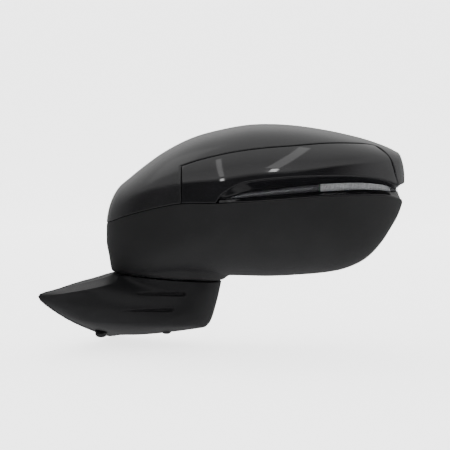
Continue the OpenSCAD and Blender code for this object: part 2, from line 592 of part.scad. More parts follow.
module base_screws() {
    color("#1c1d1f") for (p = base_screw_places) translate([p[0], p[1], p[2]]) {
        disc(base_screw_r, 0, 12);
        difference() {
            translate([0, 0, -p[3]]) cylinder(r1 = p[4] - 1.2, r2 = p[4], h = p[3]);
            translate([0, 0, -p[3] - 1]) cylinder(r = 1.8, h = 1.8, $fn = 6);
        }
    }
}
module wiring_grommet() {
    color("#1b1c1e") at_door(grommet_place) difference() {
        union() {
            disc(grommet_r + 2, -12, plate_t);
            disc(grommet_r + 4, plate_t, plate_t + 2);
        }
        disc(grommet_r, -13, plate_t + 3);
    }
}
module pivot_shaft() {
    color("#a9adb2") on_axis() difference() {
        union() {
            disc(shaft_r, flange_low, shaft_top);
            disc(flange_r, flange_low, flange_high);
        }
        disc(shaft_bore, flange_low - 1, shaft_top + 1);
        around_axis(screw_ring, 3) disc(2.2, flange_low - 1, flange_high + 1);
    }
}
module shaft_screws() {
    color("#6e7276") on_axis() around_axis(screw_ring, 3)
        translate([0, 0, flange_low]) mirror([0, 0, 1]) screw(3, 2.6, 2, 12);
}
detent_top = 1.6;
module detent_ring() {
    color("#74787c") on_axis() difference() {
        tube(19.5, 13, -deck_z, detent_top);
        around_axis(16, 3) translate([-6, 0, detent_top + 1.1]) rotate([0, 90, 0])
            cylinder(r = 2, h = 12);
    }
}
chamber_floor = 14;
chamber_top = 30;
washer_t = 1.2;
retainer_low = 33.2;
retainer_high = 36;
spring_r = 14.8;
spring_wire = 1.5;
module fold_spring() {
    color("#9ea2a6") on_axis() coil(spring_r, spring_wire,
        chamber_floor + washer_t + spring_wire + 0.3, retainer_low - spring_wire - 0.05, 4);
}
module spring_retainer() {
    color("#84888c") on_axis() tube(17, shaft_r + 0.02, retainer_low, retainer_high);
}
gear_teeth = 28;
gear_r = 16;
gear_low = 40;
gear_high = 46;
module fold_gear() {
    color("#b3a878") on_axis()
        toothed(gear_teeth, gear_r, shaft_r + 0.02, gear_low, gear_high);
}

// ================= Fold unit in the head =================
idler_x = 21.9;
idler_z = (gear_low + gear_high) / 2;
wheel_teeth = 20;
wheel_r = 6.6;
motor_x = 31.8;
motor_y = 10;
case_split = 38;
case_low = 30.3;
case_top = 54;
case_ears = [[-19.5, -12], [-19.5, 12], [45.5, -10], [45.5, 12.5]];
case_round_r = 20;
case_box = [44, 31];
case_box_y = -14;
case_wall = 1.8;
case_floor = 2;
ear_r = 4;
ear_hole_r = 1.7;
through = 60;
module case_outline(shrink = 0) {
    circle(r = case_round_r - shrink);
    translate([0, case_box_y + shrink]) square([case_box.x - shrink, case_box.y - 2 * shrink]);
    if (shrink == 0) for (e = case_ears) translate(e) circle(r = ear_r);
}
module case_holes() for (e = case_ears) translate([e[0], e[1], 0])
    disc(ear_hole_r, case_low - 1, through);
module fold_case_lower() {
    color("#202124") on_axis() difference() {
        translate([0, 0, case_low]) linear_extrude(case_split - case_low) case_outline();
        translate([0, 0, case_low + case_floor]) linear_extrude(case_split) case_outline(case_wall);
        disc(case_round_r - 2.4, 0, through);
        translate([motor_x, motor_y, 0]) disc(2, 0, through);
        case_holes();
    }
}
module fold_case_upper() {
    color("#26272a") on_axis() difference() {
        translate([0, 0, case_split + 0.2]) linear_extrude(case_top - case_split) case_outline();
        translate([0, 0, case_split - 1]) linear_extrude(case_top - case_split - 1)
            case_outline(case_wall);
        disc(shaft_bore, gear_low, through);
        case_holes();
    }
}
module fold_case_screws() {
    color("#6e7276") on_axis() for (e = case_ears)
        translate([e[0], e[1], case_top + 0.2]) screw(3, 2, 1.5, case_top - case_low - 1);
}
fold_motor_r = 8.2;
fold_motor_flats = 13;
fold_motor_low = 7;
fold_motor_high = 29.6;
fold_motor_bore_r = 1.3;
module fold_motor() {
    color("#9b9fa3") on_axis() translate([motor_x, motor_y, 0]) difference() {
        intersection() {
            disc(fold_motor_r, fold_motor_low, fold_motor_high);
            block([-fold_motor_r, -fold_motor_flats / 2, 0],
                [fold_motor_r, fold_motor_flats / 2, fold_motor_high]);
        }
        disc(fold_motor_bore_r, 20, fold_motor_high + 1);
    }
}
module fold_worm() {
    color("#c2a86a") on_axis() translate([motor_x, motor_y, 0])
        worm(1.6, 2.4, 37, 49, 6, 1, 22, 51);
}
module fold_idler() {
    color("#c2a86a") on_axis() translate([idler_x, 0, idler_z]) towards_rear() {
        worm(3, 4.6, -9, 6, 6, 1.5, -11.5, 14.5);
        toothed(wheel_teeth, wheel_r, 1.4, 8, 12);
    }
}

// ================= Head frame =================
frame_y0 = -7;
frame_y1 = -3.5;
housing_r = 22;
plane_n = 64;
function rim_place(a) = place(outline_at([cos(a), sin(a)]));
function rim_inset(a, inset) =
    let (t = rim_place(a + 0.5) - rim_place(a - 0.5)) rim_place(a) + inset * [-t[1], t[0]] / norm(t);
module head_plane(inset) {
    polygon([for (k = [0 : plane_n - 1]) rim_inset(360 * k / plane_n, inset)]);
}
bezel_posts = [[62, 108], [262, 121], [260.5, 78]];
rib_x = [134, 205];
cap_clip_x = [70, 110, 155, 200];
clip_w = 6;
clip_profile = [[0, 0], [12, 0], [12, 1.2], [8, 6], [6, 7], [4, 6], [0, 1.2]];
frame_inset = 8;
// Openings of the frame's plate: those with straight sides as [corner, size], then round ones
frame_windows = [[[0, 0], [44, 200]], [[48, 53], [79, 46]], [[98, 0], [24, 60]],
    [[240, 88], [40, 25]]];
frame_holes = [[215, 60, 12], [232, 100, 9], [140, 122, 8], [145, 58, 10], [200, 128, 6]];
rib_low = 42;
rib_high = 120;
rib_t = 2.5;
rib_depth = 9;
detent_seat_r = 20.3;
chamber_r = 19.3;
bezel_screw_hole_r = 2.2;
drive_screw_hole_r = 1.9;
module head_frame() {
    color("#2a2b2e") difference() {
        union() {
            across(frame_y0, frame_y1) difference() {
                head_plane(frame_inset);
                for (w = frame_windows) translate(w[0]) square(w[1]);
                for (c = frame_holes) translate([c[0], c[1]]) circle(r = c[2]);
            }
            on_axis() disc(housing_r, deck_z, chamber_top);
            for (x = rib_x)
                block([x, frame_y0 - rib_depth, rib_low], [x + rib_t, frame_y0 + 1, rib_high]);
        }
        on_axis() {
            disc(shaft_r + run_gap, -1, through);
            disc(detent_seat_r, -1, detent_top + 0.3);
            disc(chamber_r, chamber_floor, through);
        }
        across(frame_y0 - 1, frame_y1 + 1) for (p = bezel_posts)
            translate([p[0], p[1]]) circle(r = bezel_screw_hole_r);
        at_pivot() towards_rear() for (p = actuator_screw_places) translate([p[0], p[1], 0])
            disc(drive_screw_hole_r, frame_y0 - pivot_y - 1, frame_y1 - pivot_y + 1);
    }
}
module thrust_washer() {
    color("#b7b9bb") on_axis()
        tube(18.3, shaft_r + run_gap, chamber_floor, chamber_floor + washer_t);
}
module cap_clips() {
    color("#8a8e92") for (x = cap_clip_x)
        translate([x, frame_y0, bend(x, CENTRE) + size_at(x, true) - 19]) rotate([90, 90, 0])
            linear_extrude(clip_w) translate([-6, -3]) polygon(clip_profile);
}
bezel_y = rim_y - 4;
glass_face = bezel_y + 0.5;
glass_n = 56;
module glass_plane(grow) {
    square_power = 4;
    polygon([for (k = [0 : glass_n - 1]) let (a = 360 * k / glass_n, c = cos(a), s = sin(a),
        r = pow(pow(abs(c), square_power) + pow(abs(s), square_power), -1 / square_power),
        x = glass_x + glass_half * c * r, reach_z = size_at(x, s > 0) - glass_margin)
        [x + grow * c * r, bend(x, CENTRE) + s * r * (reach_z + grow)]]);
}
module rear_bezel() {
    rim = 5.6;
    flange_t = 2.2;
    tunnel_t = 1.8;
    tunnel_depth = 7;
    post_r = 4;
    post_hole_r = 1.8;
    neck_clearance = 0.5;
    color("#1d1e20") difference() {
        union() {
            across(bezel_y, bezel_y + flange_t) head_plane(rim);
            across(bezel_y - tunnel_depth, bezel_y + 1) glass_plane(glass_gap + tunnel_t);
            across(frame_y1 + 0.2, bezel_y + 1) for (p = bezel_posts)
                translate([p[0], p[1]]) circle(r = post_r);
        }
        across(bezel_y - tunnel_depth - 1, bezel_y + flange_t + 1) glass_plane(glass_gap);
        across(frame_y1, frame_y1 + 14) for (p = bezel_posts)
            translate([p[0], p[1]]) circle(r = post_hole_r);
        on_axis() disc(head_half, -head_half, deck_z + collar_h + wall + neck_clearance);
    }
}
module bezel_screws() {
    color("#6e7276") for (p = bezel_posts) translate([p[0], frame_y0, p[1]])
        rotate([90, 0, 0]) screw(3.8, 2.4, 1.75, 14);
}

// ================= Tilt drive =================
// Here each piece is laid out about the pivot with its own Z running to the rear
module in_drive() at_pivot() towards_rear() children();
case_r = 40;
drive_low = frame_y1 - pivot_y + 0.2;
drive_split = drive_low + 9;
drive_high = drive_low + 19;
actuator_screw_places = [[-34, -28], [38, -29], [0, 44]];
tilt_place = [0, -jack_r];
pan_place = [jack_r, 0];
drive_teeth = 30;
drive_r = 11;
drive_gear_z0 = drive_low + 5.5;
drive_gear_z1 = drive_low + 10;
worm_z = (drive_gear_z0 + drive_gear_z1) / 2;
jack_hole = 5.4;
pivot_post_r = 5;
pivot_pin_r = 2;
pivot_pin_half = 12.5;
module drive_outline(shrink = 0) {
    circle(r = case_r - shrink);
    for (p = [tilt_place, pan_place]) translate(p * 0.47) circle(r = case_r - 6 - shrink);
    if (shrink == 0) for (p = actuator_screw_places) translate(p) circle(r = 5);
}
module drive_screw_holes(r) for (p = actuator_screw_places) translate(p) disc(r, -60, 60);
module actuator_case_front() {
    color("#1f2023") in_drive() difference() {
        translate([0, 0, drive_low]) linear_extrude(drive_split - drive_low) drive_outline();
        translate([0, 0, drive_low + 2]) linear_extrude(30) drive_outline(2);
        for (p = [tilt_place, pan_place]) translate(p) disc(4.2, -60, 0);
        drive_screw_holes(1.9);
    }
}
module actuator_case_back() {
    color("#2d2e31") in_drive() difference() {
        union() {
            translate([0, 0, drive_split + 0.2]) linear_extrude(drive_high - drive_split - 0.2)
                drive_outline();
            disc(pivot_post_r, drive_high - 1, -9);
        }
        translate([0, 0, drive_split - 1]) linear_extrude(drive_high - drive_split - 1)
            drive_outline(2);
        for (p = [tilt_place, pan_place]) translate(p) disc(jack_hole, -60, 0);
        drive_screw_holes(1.9);
    }
    color("#2d2e31") in_drive() {
        disc(pivot_post_r, -9, 4);
        rotate([-90, 0, 0]) disc(pivot_pin_r, -pivot_pin_half, pivot_pin_half);
    }
}
module actuator_screws() {
    color("#6e7276") in_drive() for (p = actuator_screw_places)
        translate([p[0], p[1], drive_high]) screw(3.4, 2.2, 1.7, 22);
}
motor_r = 6;
worm_offset = drive_r + 0.75 * 2 * drive_r / drive_teeth + 2.4 + 0.35;
// Motor lying beside its drive gear; along is the direction of its shaft
module motor_can(z_turn) {
    rotate([0, 0, z_turn]) rotate([0, 90, 0]) difference() {
        intersection() {
            disc(motor_r, 9.5, 22);
            translate([-5, -motor_r, 0]) cube([10, 2 * motor_r, 40]);
        }
        disc(1.2, 8, 16);
    }
}
tilt_worm_at = [-8, tilt_place[1] + worm_offset, worm_z];
pan_worm_at = [pan_place[0] - worm_offset, 0, worm_z];
module tilt_motor() color("#9b9fa3") in_drive() translate(tilt_worm_at) motor_can(180);
module pan_motor() color("#9b9fa3") in_drive() translate(pan_worm_at) motor_can(90);
module drive_worm() rotate([0, 90, 0]) worm(1.5, 2.4, -6, 6, 5, 0.9, -8, 12);
module tilt_worm() color("#c2a86a") in_drive() translate(tilt_worm_at) rotate(180)
    translate([-8, 0, 0]) drive_worm();
module pan_worm() color("#c2a86a") in_drive() translate(pan_worm_at) rotate(90)
    translate([-6, 0, 0]) drive_worm();
module drive_gear() {
    toothed(drive_teeth, drive_r, 3.85, drive_gear_z0, drive_gear_z1);
    tube(6, 3.85, drive_low + 2.4, drive_gear_z0 + tiny);
}
module tilt_gear() color("#d9d3c0") in_drive() translate(tilt_place) drive_gear();
module pan_gear() color("#d9d3c0") in_drive() translate(pan_place) drive_gear();
// Jack screw: threaded stem with a ball that pushes the glass carrier
module jack() {
    stem_low = drive_low + 5;
    rotate_extrude() polygon(concat([[0, stem_low]],
        join([for (i = [0 : 7]) let (z = stem_low + 1.5 * i)
            [[2.9, z], [3.5, z + 0.5], [3.5, z + 0.9], [2.9, z + 1.4]]]),
        [[2.9, 0], [0, 0]]));
    sphere(r = 4, $fn = 32);
}
module tilt_screw() color("#e3e0d6") in_drive() translate(tilt_place) jack();
module pan_screw() color("#e3e0d6") in_drive() translate(pan_place) jack();
module pivot_ring() {
    color("#55585c") in_drive() difference() {
        union() {
            tube(13, 9.6, -3.5, 3.5);
            for (s = [-1, 1]) translate([s * 12, 0, 0]) rotate([0, s * 90, 0])
                disc(pivot_pin_r, 0, 5);
        }
        rotate([90, 0, 0]) disc(pivot_pin_r + run_gap, -20, 20);
    }
}
holder_low = glass_face - glass_t - 0.4 - 2.4;
heater_low = glass_face - glass_t - 0.4;
module glass_holder() {
    hub = 20;
    color("#26272a") difference() {
        union() {
            across(holder_low, heater_low) glass_plane(-1);
            in_drive() {
                tube(hub, 15, -3.5, holder_low - pivot_y + 0.5);
                for (p = [tilt_place, pan_place]) translate(p)
                    tube(6.8, 4.5, -4, holder_low - pivot_y + 0.5);
            }
        }
        in_drive() rotate([0, 90, 0]) disc(pivot_pin_r + run_gap, -30, 30);
        in_drive() for (p = [tilt_place, pan_place]) translate(p) disc(4.5, -10, 5.2);
    }
}
module heater_pad() color("#3b3f45") across(heater_low + 0.02, glass_face - glass_t - 0.02)
    glass_plane(-4);
module mirror_glass() color("#c9d2d8") across(glass_face - glass_t, glass_face) glass_plane(0);

base_cover();
base_bracket();
door_gasket();
mounting_studs();
locating_pegs();
base_screws();
wiring_grommet();
pivot_shaft();
shaft_screws();
detent_ring();
fold_spring();
spring_retainer();
fold_gear();
head_frame();
thrust_washer();
fold_case_lower();
fold_case_upper();
fold_case_screws();
fold_motor();
fold_worm();
fold_idler();
upper_cap();
front_trim();
lower_cover();
lamp_channel();
lamp_lens();
lamp_light_guide();
lamp_reflector();
lamp_housing();
lamp_circuit_board();
lamp_leds();
rear_bezel();
bezel_screws();
cap_clips();
actuator_case_front();
actuator_case_back();
actuator_screws();
tilt_motor();
pan_motor();
tilt_worm();
pan_worm();
tilt_gear();
pan_gear();
tilt_screw();
pan_screw();
pivot_ring();
glass_holder();
heater_pad();
mirror_glass();
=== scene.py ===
# Looks of a powered folding car door mirror: shells, foot, lamp scoop and glass around the CAD frame.
# +X runs outboard along the head, +Y to the rear of the car (the glass side), +Z up.
import json
import math

import bpy
import numpy as np
from mathutils import Matrix, Vector


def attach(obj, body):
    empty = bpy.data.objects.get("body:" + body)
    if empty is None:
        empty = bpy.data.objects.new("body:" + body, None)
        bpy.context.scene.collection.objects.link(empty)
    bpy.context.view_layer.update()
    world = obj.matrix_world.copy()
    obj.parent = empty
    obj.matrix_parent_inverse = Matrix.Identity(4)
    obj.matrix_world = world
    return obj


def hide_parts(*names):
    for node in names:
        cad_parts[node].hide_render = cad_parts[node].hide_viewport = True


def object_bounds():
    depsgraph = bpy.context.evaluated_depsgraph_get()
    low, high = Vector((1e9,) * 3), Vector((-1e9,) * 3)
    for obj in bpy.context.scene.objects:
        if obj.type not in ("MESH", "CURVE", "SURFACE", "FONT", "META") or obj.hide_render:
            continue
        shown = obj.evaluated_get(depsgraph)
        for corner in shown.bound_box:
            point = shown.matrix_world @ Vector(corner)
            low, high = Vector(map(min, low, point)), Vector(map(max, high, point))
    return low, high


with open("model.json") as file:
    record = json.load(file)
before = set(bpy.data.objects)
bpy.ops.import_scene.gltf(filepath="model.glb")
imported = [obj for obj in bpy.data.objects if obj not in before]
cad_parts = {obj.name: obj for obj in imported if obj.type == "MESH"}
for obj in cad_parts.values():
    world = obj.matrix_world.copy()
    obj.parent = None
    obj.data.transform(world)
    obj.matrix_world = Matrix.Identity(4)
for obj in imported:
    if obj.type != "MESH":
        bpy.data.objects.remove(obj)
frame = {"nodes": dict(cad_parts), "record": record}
cad_low, cad_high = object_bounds()
cad_middle = (Vector(cad_low) + Vector(cad_high)) / 2
MM = 0.001

# ---- Driving dimensions of the head, in millimetres, as in the CAD ----
HEAD_X0, HEAD_X1 = 21, 275
HEAD_MID, HEAD_HALF = (HEAD_X0 + HEAD_X1) / 2, (HEAD_X1 - HEAD_X0) / 2
OUTLINE_POWER, FRONT_POWER = 5, 2.6
MID_Y, RIM_Y, RIM_TAPER = 10, 41, 2.5
PANEL_GAP, SEAM_GAP = 0.6, 1.5
DECK_Z = SEAM_GAP / 2
AXIS_AT = np.array([73.0, 0.0, 25.3])
AXIS_LEAN = math.radians(4.75)
NECK_A, NECK_B = 46.3, 33
DOOR_TURN = math.radians(25)
TRIM_X0, SCOOP_X0 = 86, 114.5
TONGUE_INSET, TONGUE_WALL = 3.6, 1.2


# ================= Camera =================
AIM = Vector((0.1221, 0, 0.0686))
CAMERA_RISE, CAMERA_DISTANCE = math.radians(4), 1.5
LENS, SENSOR = 141.2, 36


def add_camera():
    """Long lens in front of the mirror, a little above its middle."""
    back = Vector((0, -math.cos(CAMERA_RISE), math.sin(CAMERA_RISE)))
    data = bpy.data.cameras.new("camera")
    data.sensor_width = SENSOR
    data.lens = LENS
    camera = bpy.data.objects.new("camera", data)
    camera.location = AIM + CAMERA_DISTANCE * back
    camera.rotation_euler = (math.pi / 2 - CAMERA_RISE, 0, 0)
    bpy.context.scene.collection.objects.link(camera)
    bpy.context.scene.camera = camera


# ================= Lines of the head =================
def curve(points):
    """Smooth curve through points [x, value], as a function of x."""
    xs, ys = np.array(points, float).T
    before = np.r_[0, np.arange(len(xs) - 1)]
    after = np.r_[np.arange(1, len(xs)), len(xs) - 1]
    slopes = (ys[after] - ys[before]) / (xs[after] - xs[before])

    def at(x):
        x = np.clip(x, xs[0], xs[-1])
        i = np.clip(np.searchsorted(xs, x, side="right") - 1, 0, len(xs) - 2)
        h = xs[i + 1] - xs[i]
        t = (x - xs[i]) / h
        start = (2 * t**3 - 3 * t**2 + 1) * ys[i] + (t**3 - 2 * t**2 + t) * h * slopes[i]
        end = (3 * t**2 - 2 * t**3) * ys[i + 1] + (t**3 - t**2) * h * slopes[i + 1]
        return start + end

    return at


centre = curve([[21, 60], [90, 78], [160, 90], [230, 97], [275, 101]])
top_size = curve([[21, 31], [25, 40.5], [31, 46], [40, 48], [52, 52], [70, 58.2], [95, 64], [120, 66],
                  [145, 66], [175, 61.8], [205, 55.2], [235, 47.3], [255, 42], [266, 40], [271, 40],
                  [275, 30]])
bottom_size = curve([[21, 18], [24, 30], [30, 46], [45, 50], [90, 54], [125, 59], [160, 65], [190, 67],
                     [215, 67], [230, 65], [243, 60.5], [255, 51], [263, 41], [269, 32.5], [275, 17]])
depth = curve([[21, 64], [75, 68], [145, 68], [225, 62], [275, 54]])
seam = curve([[21, 70.5], [35, 76.5], [53, 82.5], [84, 89.5], [115, 90.3], [160, 92.8], [190, 94.8],
              [212, 96], [257, 95.5], [274, 91]])
lip = curve([[114.5, 90.6], [119, 97], [128, 103.1], [139, 107.6], [170, 111.2], [193, 112.1],
             [229, 111.7], [248, 109.5], [259, 107], [267, 103.8], [275, 103.2]])
trim_top = curve([[86, 120.5], [103, 126], [127, 131.5], [152, 135], [178, 137], [208, 139],
                  [233, 138.6], [247, 137], [253.5, 133.5]])
lens_top = curve([[121, 94.4], [130, 96.5], [138, 99.3], [152, 100.9], [165, 102.2], [200, 105],
                  [237, 105.8], [258, 103.6], [268, 100.8], [275, 100]])
lens_low = curve([[121, 93.4], [130, 94], [152, 95.6], [175, 97.2], [197, 98.9], [212, 99.7],
                  [237, 100.4], [258, 99.4], [268, 97.6], [275, 97.2]])


def ease(t):
    t = np.clip(t, 0, 1)
    return t * t * (3 - 2 * t)


def mix(a, b, t):
    return a + (b - a) * t


# ================= The head's surface =================
def side_of(x):
    return (x - HEAD_MID) / HEAD_HALF


def size_at(x, up):
    return np.where(up, top_size(x), bottom_size(x))


def reach(x, z):
    dz = z - centre(x)
    share = np.abs(dz) / size_at(x, dz > 0)
    return (np.abs(side_of(x)) ** OUTLINE_POWER + share**OUTLINE_POWER) ** (1 / OUTLINE_POWER)


def front_y(x, z):
    return MID_Y - depth(x) * np.clip(1 - reach(x, z) ** FRONT_POWER, 0, None) ** (1 / FRONT_POWER)


def skin(p):
    x, y, z = p[..., 0], p[..., 1], p[..., 2]
    return reach(x, z) ** FRONT_POWER + (np.clip(MID_Y - y, 0, None) / depth(x)) ** FRONT_POWER


def unit(v):
    return v / np.maximum(np.linalg.norm(v, axis=-1, keepdims=True), 1e-9)


def outward(p):
    """The head's outward normal at points on its surface."""
    step = 0.05 * np.eye(3)
    return unit(np.stack([skin(p + d) - skin(p - d) for d in step], axis=-1))


def outline(angle):
    """Point of the head's outline in the direction angle, as fractions of its half sizes."""
    d = np.stack([np.cos(angle), np.sin(angle)], axis=-1)
    return d / (np.abs(d) ** OUTLINE_POWER).sum(axis=-1, keepdims=True) ** (1 / OUTLINE_POWER)


def fraction(xz):
    dz = xz[..., 1] - centre(xz[..., 0])
    return np.stack([side_of(xz[..., 0]), dz / size_at(xz[..., 0], dz > 0)], axis=-1)


def place(uv):
    x = HEAD_MID + HEAD_HALF * uv[..., 0]
    return np.stack([x, centre(x) + uv[..., 1] * size_at(x, uv[..., 1] > 0)], axis=-1)


def straight_angle(x, way):
    """Direction of the outline point straight above (way 1) or below (way -1) x."""
    u = side_of(x)
    return np.arctan2(way * (1 - np.abs(u) ** OUTLINE_POWER) ** (1 / OUTLINE_POWER), u)


def shell_columns(starts, angles, rows=160):
    """Columns that run from starts over the front to the outline, then back along the band to the rim."""
    w = np.linspace(0, 2, rows)[:, None]
    share = (1 - np.clip(1 - w, 0, None) ** 2.4)[..., None]
    end = outline(angles)
    xz = place(mix(fraction(starts)[None], end[None], share))
    back = np.clip(w - 1, 0, None)
    drawn = RIM_TAPER * back**2
    y = np.where(w <= 1, front_y(xz[..., 0], xz[..., 1]), mix(MID_Y, RIM_Y, back))
    x = xz[..., 0] - drawn * end[:, 0] * np.abs(end[:, 0]) ** 4
    z = xz[..., 1] - drawn * end[:, 1] * np.abs(end[:, 1]) ** 4
    return np.stack([x, y, z], axis=-1)


def lengths(grid):
    steps = np.linalg.norm(np.diff(grid, axis=0), axis=2)
    return np.vstack([np.zeros(grid.shape[1]), np.cumsum(steps, axis=0)])


def resample(grid, stops):
    """Moves each column's points to the given distances along it."""
    run = lengths(grid)
    columns = [np.stack([np.interp(stops[:, j], run[:, j], grid[:, j, k]) for k in range(3)], axis=-1)
               for j in range(grid.shape[1])]
    return np.stack(columns, axis=1)


ROLL_SHARES = np.array([0, 0.08, 0.25, 0.5, 0.75, 1.0, 1.6])


def stops_along(total, rolls, count):
    """Distances along each column: close together inside the two edge rolls, even between them."""
    first, last = (ROLL_SHARES * r for r in rolls)
    even = np.linspace(0, 1, count + 2)[1:-1]
    return np.stack([np.r_[first, mix(first[-1], t - last[-1], even), t - last[::-1]] for t in total],
                    axis=1)


# ================= Meshes =================
def to_object(name, points, faces, smooth=True):
    mesh = bpy.data.meshes.new(name)
    mesh.from_pydata((np.asarray(points) * MM).tolist(), [], [list(f) for f in faces])
    mesh.validate()
    mesh.polygons.foreach_set("use_smooth", [smooth] * len(mesh.polygons))
    piece = bpy.data.objects.new(name, mesh)
    bpy.context.scene.collection.objects.link(piece)
    return piece


def grid_faces(rows, cols, mask=None, ring=False):
    faces = []
    for i in range(rows - 1):
        for j in range(cols if ring else cols - 1):
            if mask is None or mask[i, j]:
                k = (j + 1) % cols
                faces.append((i * cols + j, i * cols + k, (i + 1) * cols + k, (i + 1) * cols + j))
    return faces


def boundary_edges(faces):
    """Edges that only one face has, in that face's direction."""
    seen = {}
    for f in faces:
        for a, b in zip(f, f[1:] + f[:1]):
            seen[(a, b)] = True
    return [e for e in seen if (e[1], e[0]) not in seen and e[0] != e[1]]


def nearest_on_segments(points, a, b):
    """For each point, its distance to the nearest segment, and that segment's number."""
    best = np.full(len(points), np.inf)
    which = np.zeros(len(points), int)
    along = b - a
    square = np.maximum((along**2).sum(1), 1e-12)
    for start in range(0, len(points), 2000):
        p = points[start:start + 2000, None]
        t = np.clip(((p - a) * along).sum(2) / square, 0, 1)[..., None]
        d = np.linalg.norm(p - a - t * along, axis=2)
        which[start:start + 2000] = d.argmin(1)
        best[start:start + 2000] = d.min(1)
    return best, which


def rolled_panel(name, points, faces, normals, radius_at, flange, wall=1.2):
    """A moulded panel: its edges roll inwards by radius_at(point) and end in a flange of that depth."""
    edges = boundary_edges(faces)
    a, b = (points[[e[i] for e in edges]] for i in (0, 1))
    distance, which = nearest_on_segments(points, a, b)
    radius = radius_at((a + b) / 2)[which]
    left = np.clip(radius - distance, 0, None)
    drop = radius - np.sqrt(np.clip(radius**2 - left**2, 0, None))
    shaped = points - normals * drop[:, None]
    rim = sorted({v for e in edges for v in e})
    lower = {v: len(points) + i for i, v in enumerate(rim)}
    hem = shaped[rim] - normals[rim] * flange
    skirt = [(e[1], e[0], lower[e[0]], lower[e[1]]) for e in edges]
    piece = to_object(name, np.vstack([shaped, hem]), faces + skirt)
    solid = piece.modifiers.new("wall", "SOLIDIFY")
    solid.thickness = wall * MM
    solid.offset = -1
    return piece


def facing(faces, points, normals):
    """The faces, turned over where needed so that they look along the normals."""
    f = faces[len(faces) // 2]
    p = points[list(f)]
    look = np.cross(p[2] - p[0], p[3] - p[1])
    return faces if look @ normals[f[0]] > 0 else [tuple(reversed(f)) for f in faces]


def skin_panel(name, grid, radius_at, flange, mask=None, shape=None):
    """A rolled panel from a grid on the head's skin; shape moves its points once they are placed."""
    rows, cols = grid.shape[:2]
    points = grid.reshape(-1, 3)
    normals = outward(points)
    if shape is not None:
        points = shape(points)
    faces = facing(grid_faces(rows, cols, mask), points, normals)
    return rolled_panel(name, points, faces, normals, radius_at, flange)


# ================= Shells of the head =================
SEAM_ROLL, RIM_ROLL, LIP_ROLL = 0.6, 1.6, 1.1


def edge_roll(p):
    """Radius of a shell's edge: small at the panel gaps, larger at the rear rim and the scoop's lips."""
    on_rim = p[:, 1] > RIM_Y - 1
    opening = (lip(p[:, 0]) - seam(p[:, 0])) * (p[:, 0] > SCOOP_X0)
    off_lip = np.minimum(np.abs(p[:, 2] - lip(p[:, 0])), np.abs(p[:, 2] - seam(p[:, 0])))
    scooped = (opening > 0) & (off_lip < 1.5)
    scoop = np.clip(0.3 * opening, SEAM_ROLL, LIP_ROLL)
    return np.where(on_rim, RIM_ROLL, np.where(scooped, scoop, SEAM_ROLL))


def angle_of(direction):
    return math.atan2(direction[1], direction[0])


def spread(controls, count):
    """Rows [x, z, angle] at even steps along the control rows."""
    controls = np.array(controls, float)
    run = np.r_[0, np.cumsum(np.linalg.norm(np.diff(controls[:, :2], axis=0), axis=1))]
    at = np.linspace(0, run[-1], count)
    return np.stack([np.interp(at, run, controls[:, k]) for k in range(3)], axis=-1)


def spline(a, b, c, d, t):
    return b + 0.5 * t * (c - a + t * (2 * a - 5 * b + 4 * c - d + t * (3 * (b - c) + d - a)))


def through(points, per=12):
    """Smooth open path through points, per steps to a span."""
    p = np.array(points, float)
    p = np.vstack([2 * p[0] - p[1], p, 2 * p[-1] - p[-2]])
    t = np.linspace(0, 1, per, endpoint=False)[:, None]
    spans = [spline(p[i - 1], p[i], p[i + 1], p[i + 2], t) for i in range(1, len(p) - 2)]
    return np.vstack(spans + [p[-2:-1]])


CAP_LEFT = [[24, (-1, 0.55)], [29, (-1, 0.8)], [36, (-0.97, 1)], [44, (-0.85, 1)], [52, (-0.76, 1)]]
CAP_RIGHT = [[244, 137.6, (0.8, 1)], [251, 135.4, (0.88, 1)], [256, 131.6, (0.96, 1)],
             [260.5, 126, (1, 0.9)], [263.8, 118.6, (1, 0.66)], [265.6, 111.6, (1, 0.42)],
             [266.8, 107, (1, 0.3)], [269.2, 103.2, (1, 0.18)]]
COVER_LEFT = [[24, (-1, 0.05)], [29, (-1, -0.3)], [36, (-1, -0.6)], [44, (-1, -0.85)],
              [52, (-0.94, -1)], [60, (-0.82, -1)], [68, (-0.7, -1)]]
COVER_RIGHT = [[242, (0.75, -1)], [250, (0.83, -1)], [257, (0.91, -1)], [263, (1, -1)],
               [268, (1, -0.88)], [271.5, (1, -0.74)]]
LEFT_RIM_ANGLE = angle_of((-1, 0.33))
CAP_RIGHT_RIM, COVER_RIGHT_RIM = angle_of((1, 0.11)), angle_of((1, -0.62))


def rim_control(angle):
    return [*place(outline(np.array(angle))), angle]


def cap_controls():
    """Control rows of the cap's lower edge: those inboard of the trim, and those above and past it."""
    gap = PANEL_GAP / 2
    left = [rim_control(LEFT_RIM_ANGLE)]
    left += [[x, seam(x) + gap, angle_of(d)] for x, d in CAP_LEFT]
    left += [[x, seam(x) + gap, straight_angle(x, 1)] for x in np.arange(60, TRIM_X0 + 0.1, 2)]
    above_trim = [[x, trim_top(x) + gap, straight_angle(x, 1)] for x in np.arange(TRIM_X0, 238, 2)]
    past = through([above_trim[-1][:2]] + [c[:2] for c in CAP_RIGHT]
                   + [list(place(outline(np.array(CAP_RIGHT_RIM))))], 8)
    angles = [above_trim[-1][2]] + [angle_of(c[2]) for c in CAP_RIGHT] + [CAP_RIGHT_RIM]
    turned = np.interp(np.linspace(0, 1, len(past)), np.linspace(0, 1, len(angles)), angles)
    right = above_trim[:-1] + [[*p, a] for p, a in zip(past, turned)]
    return left, right


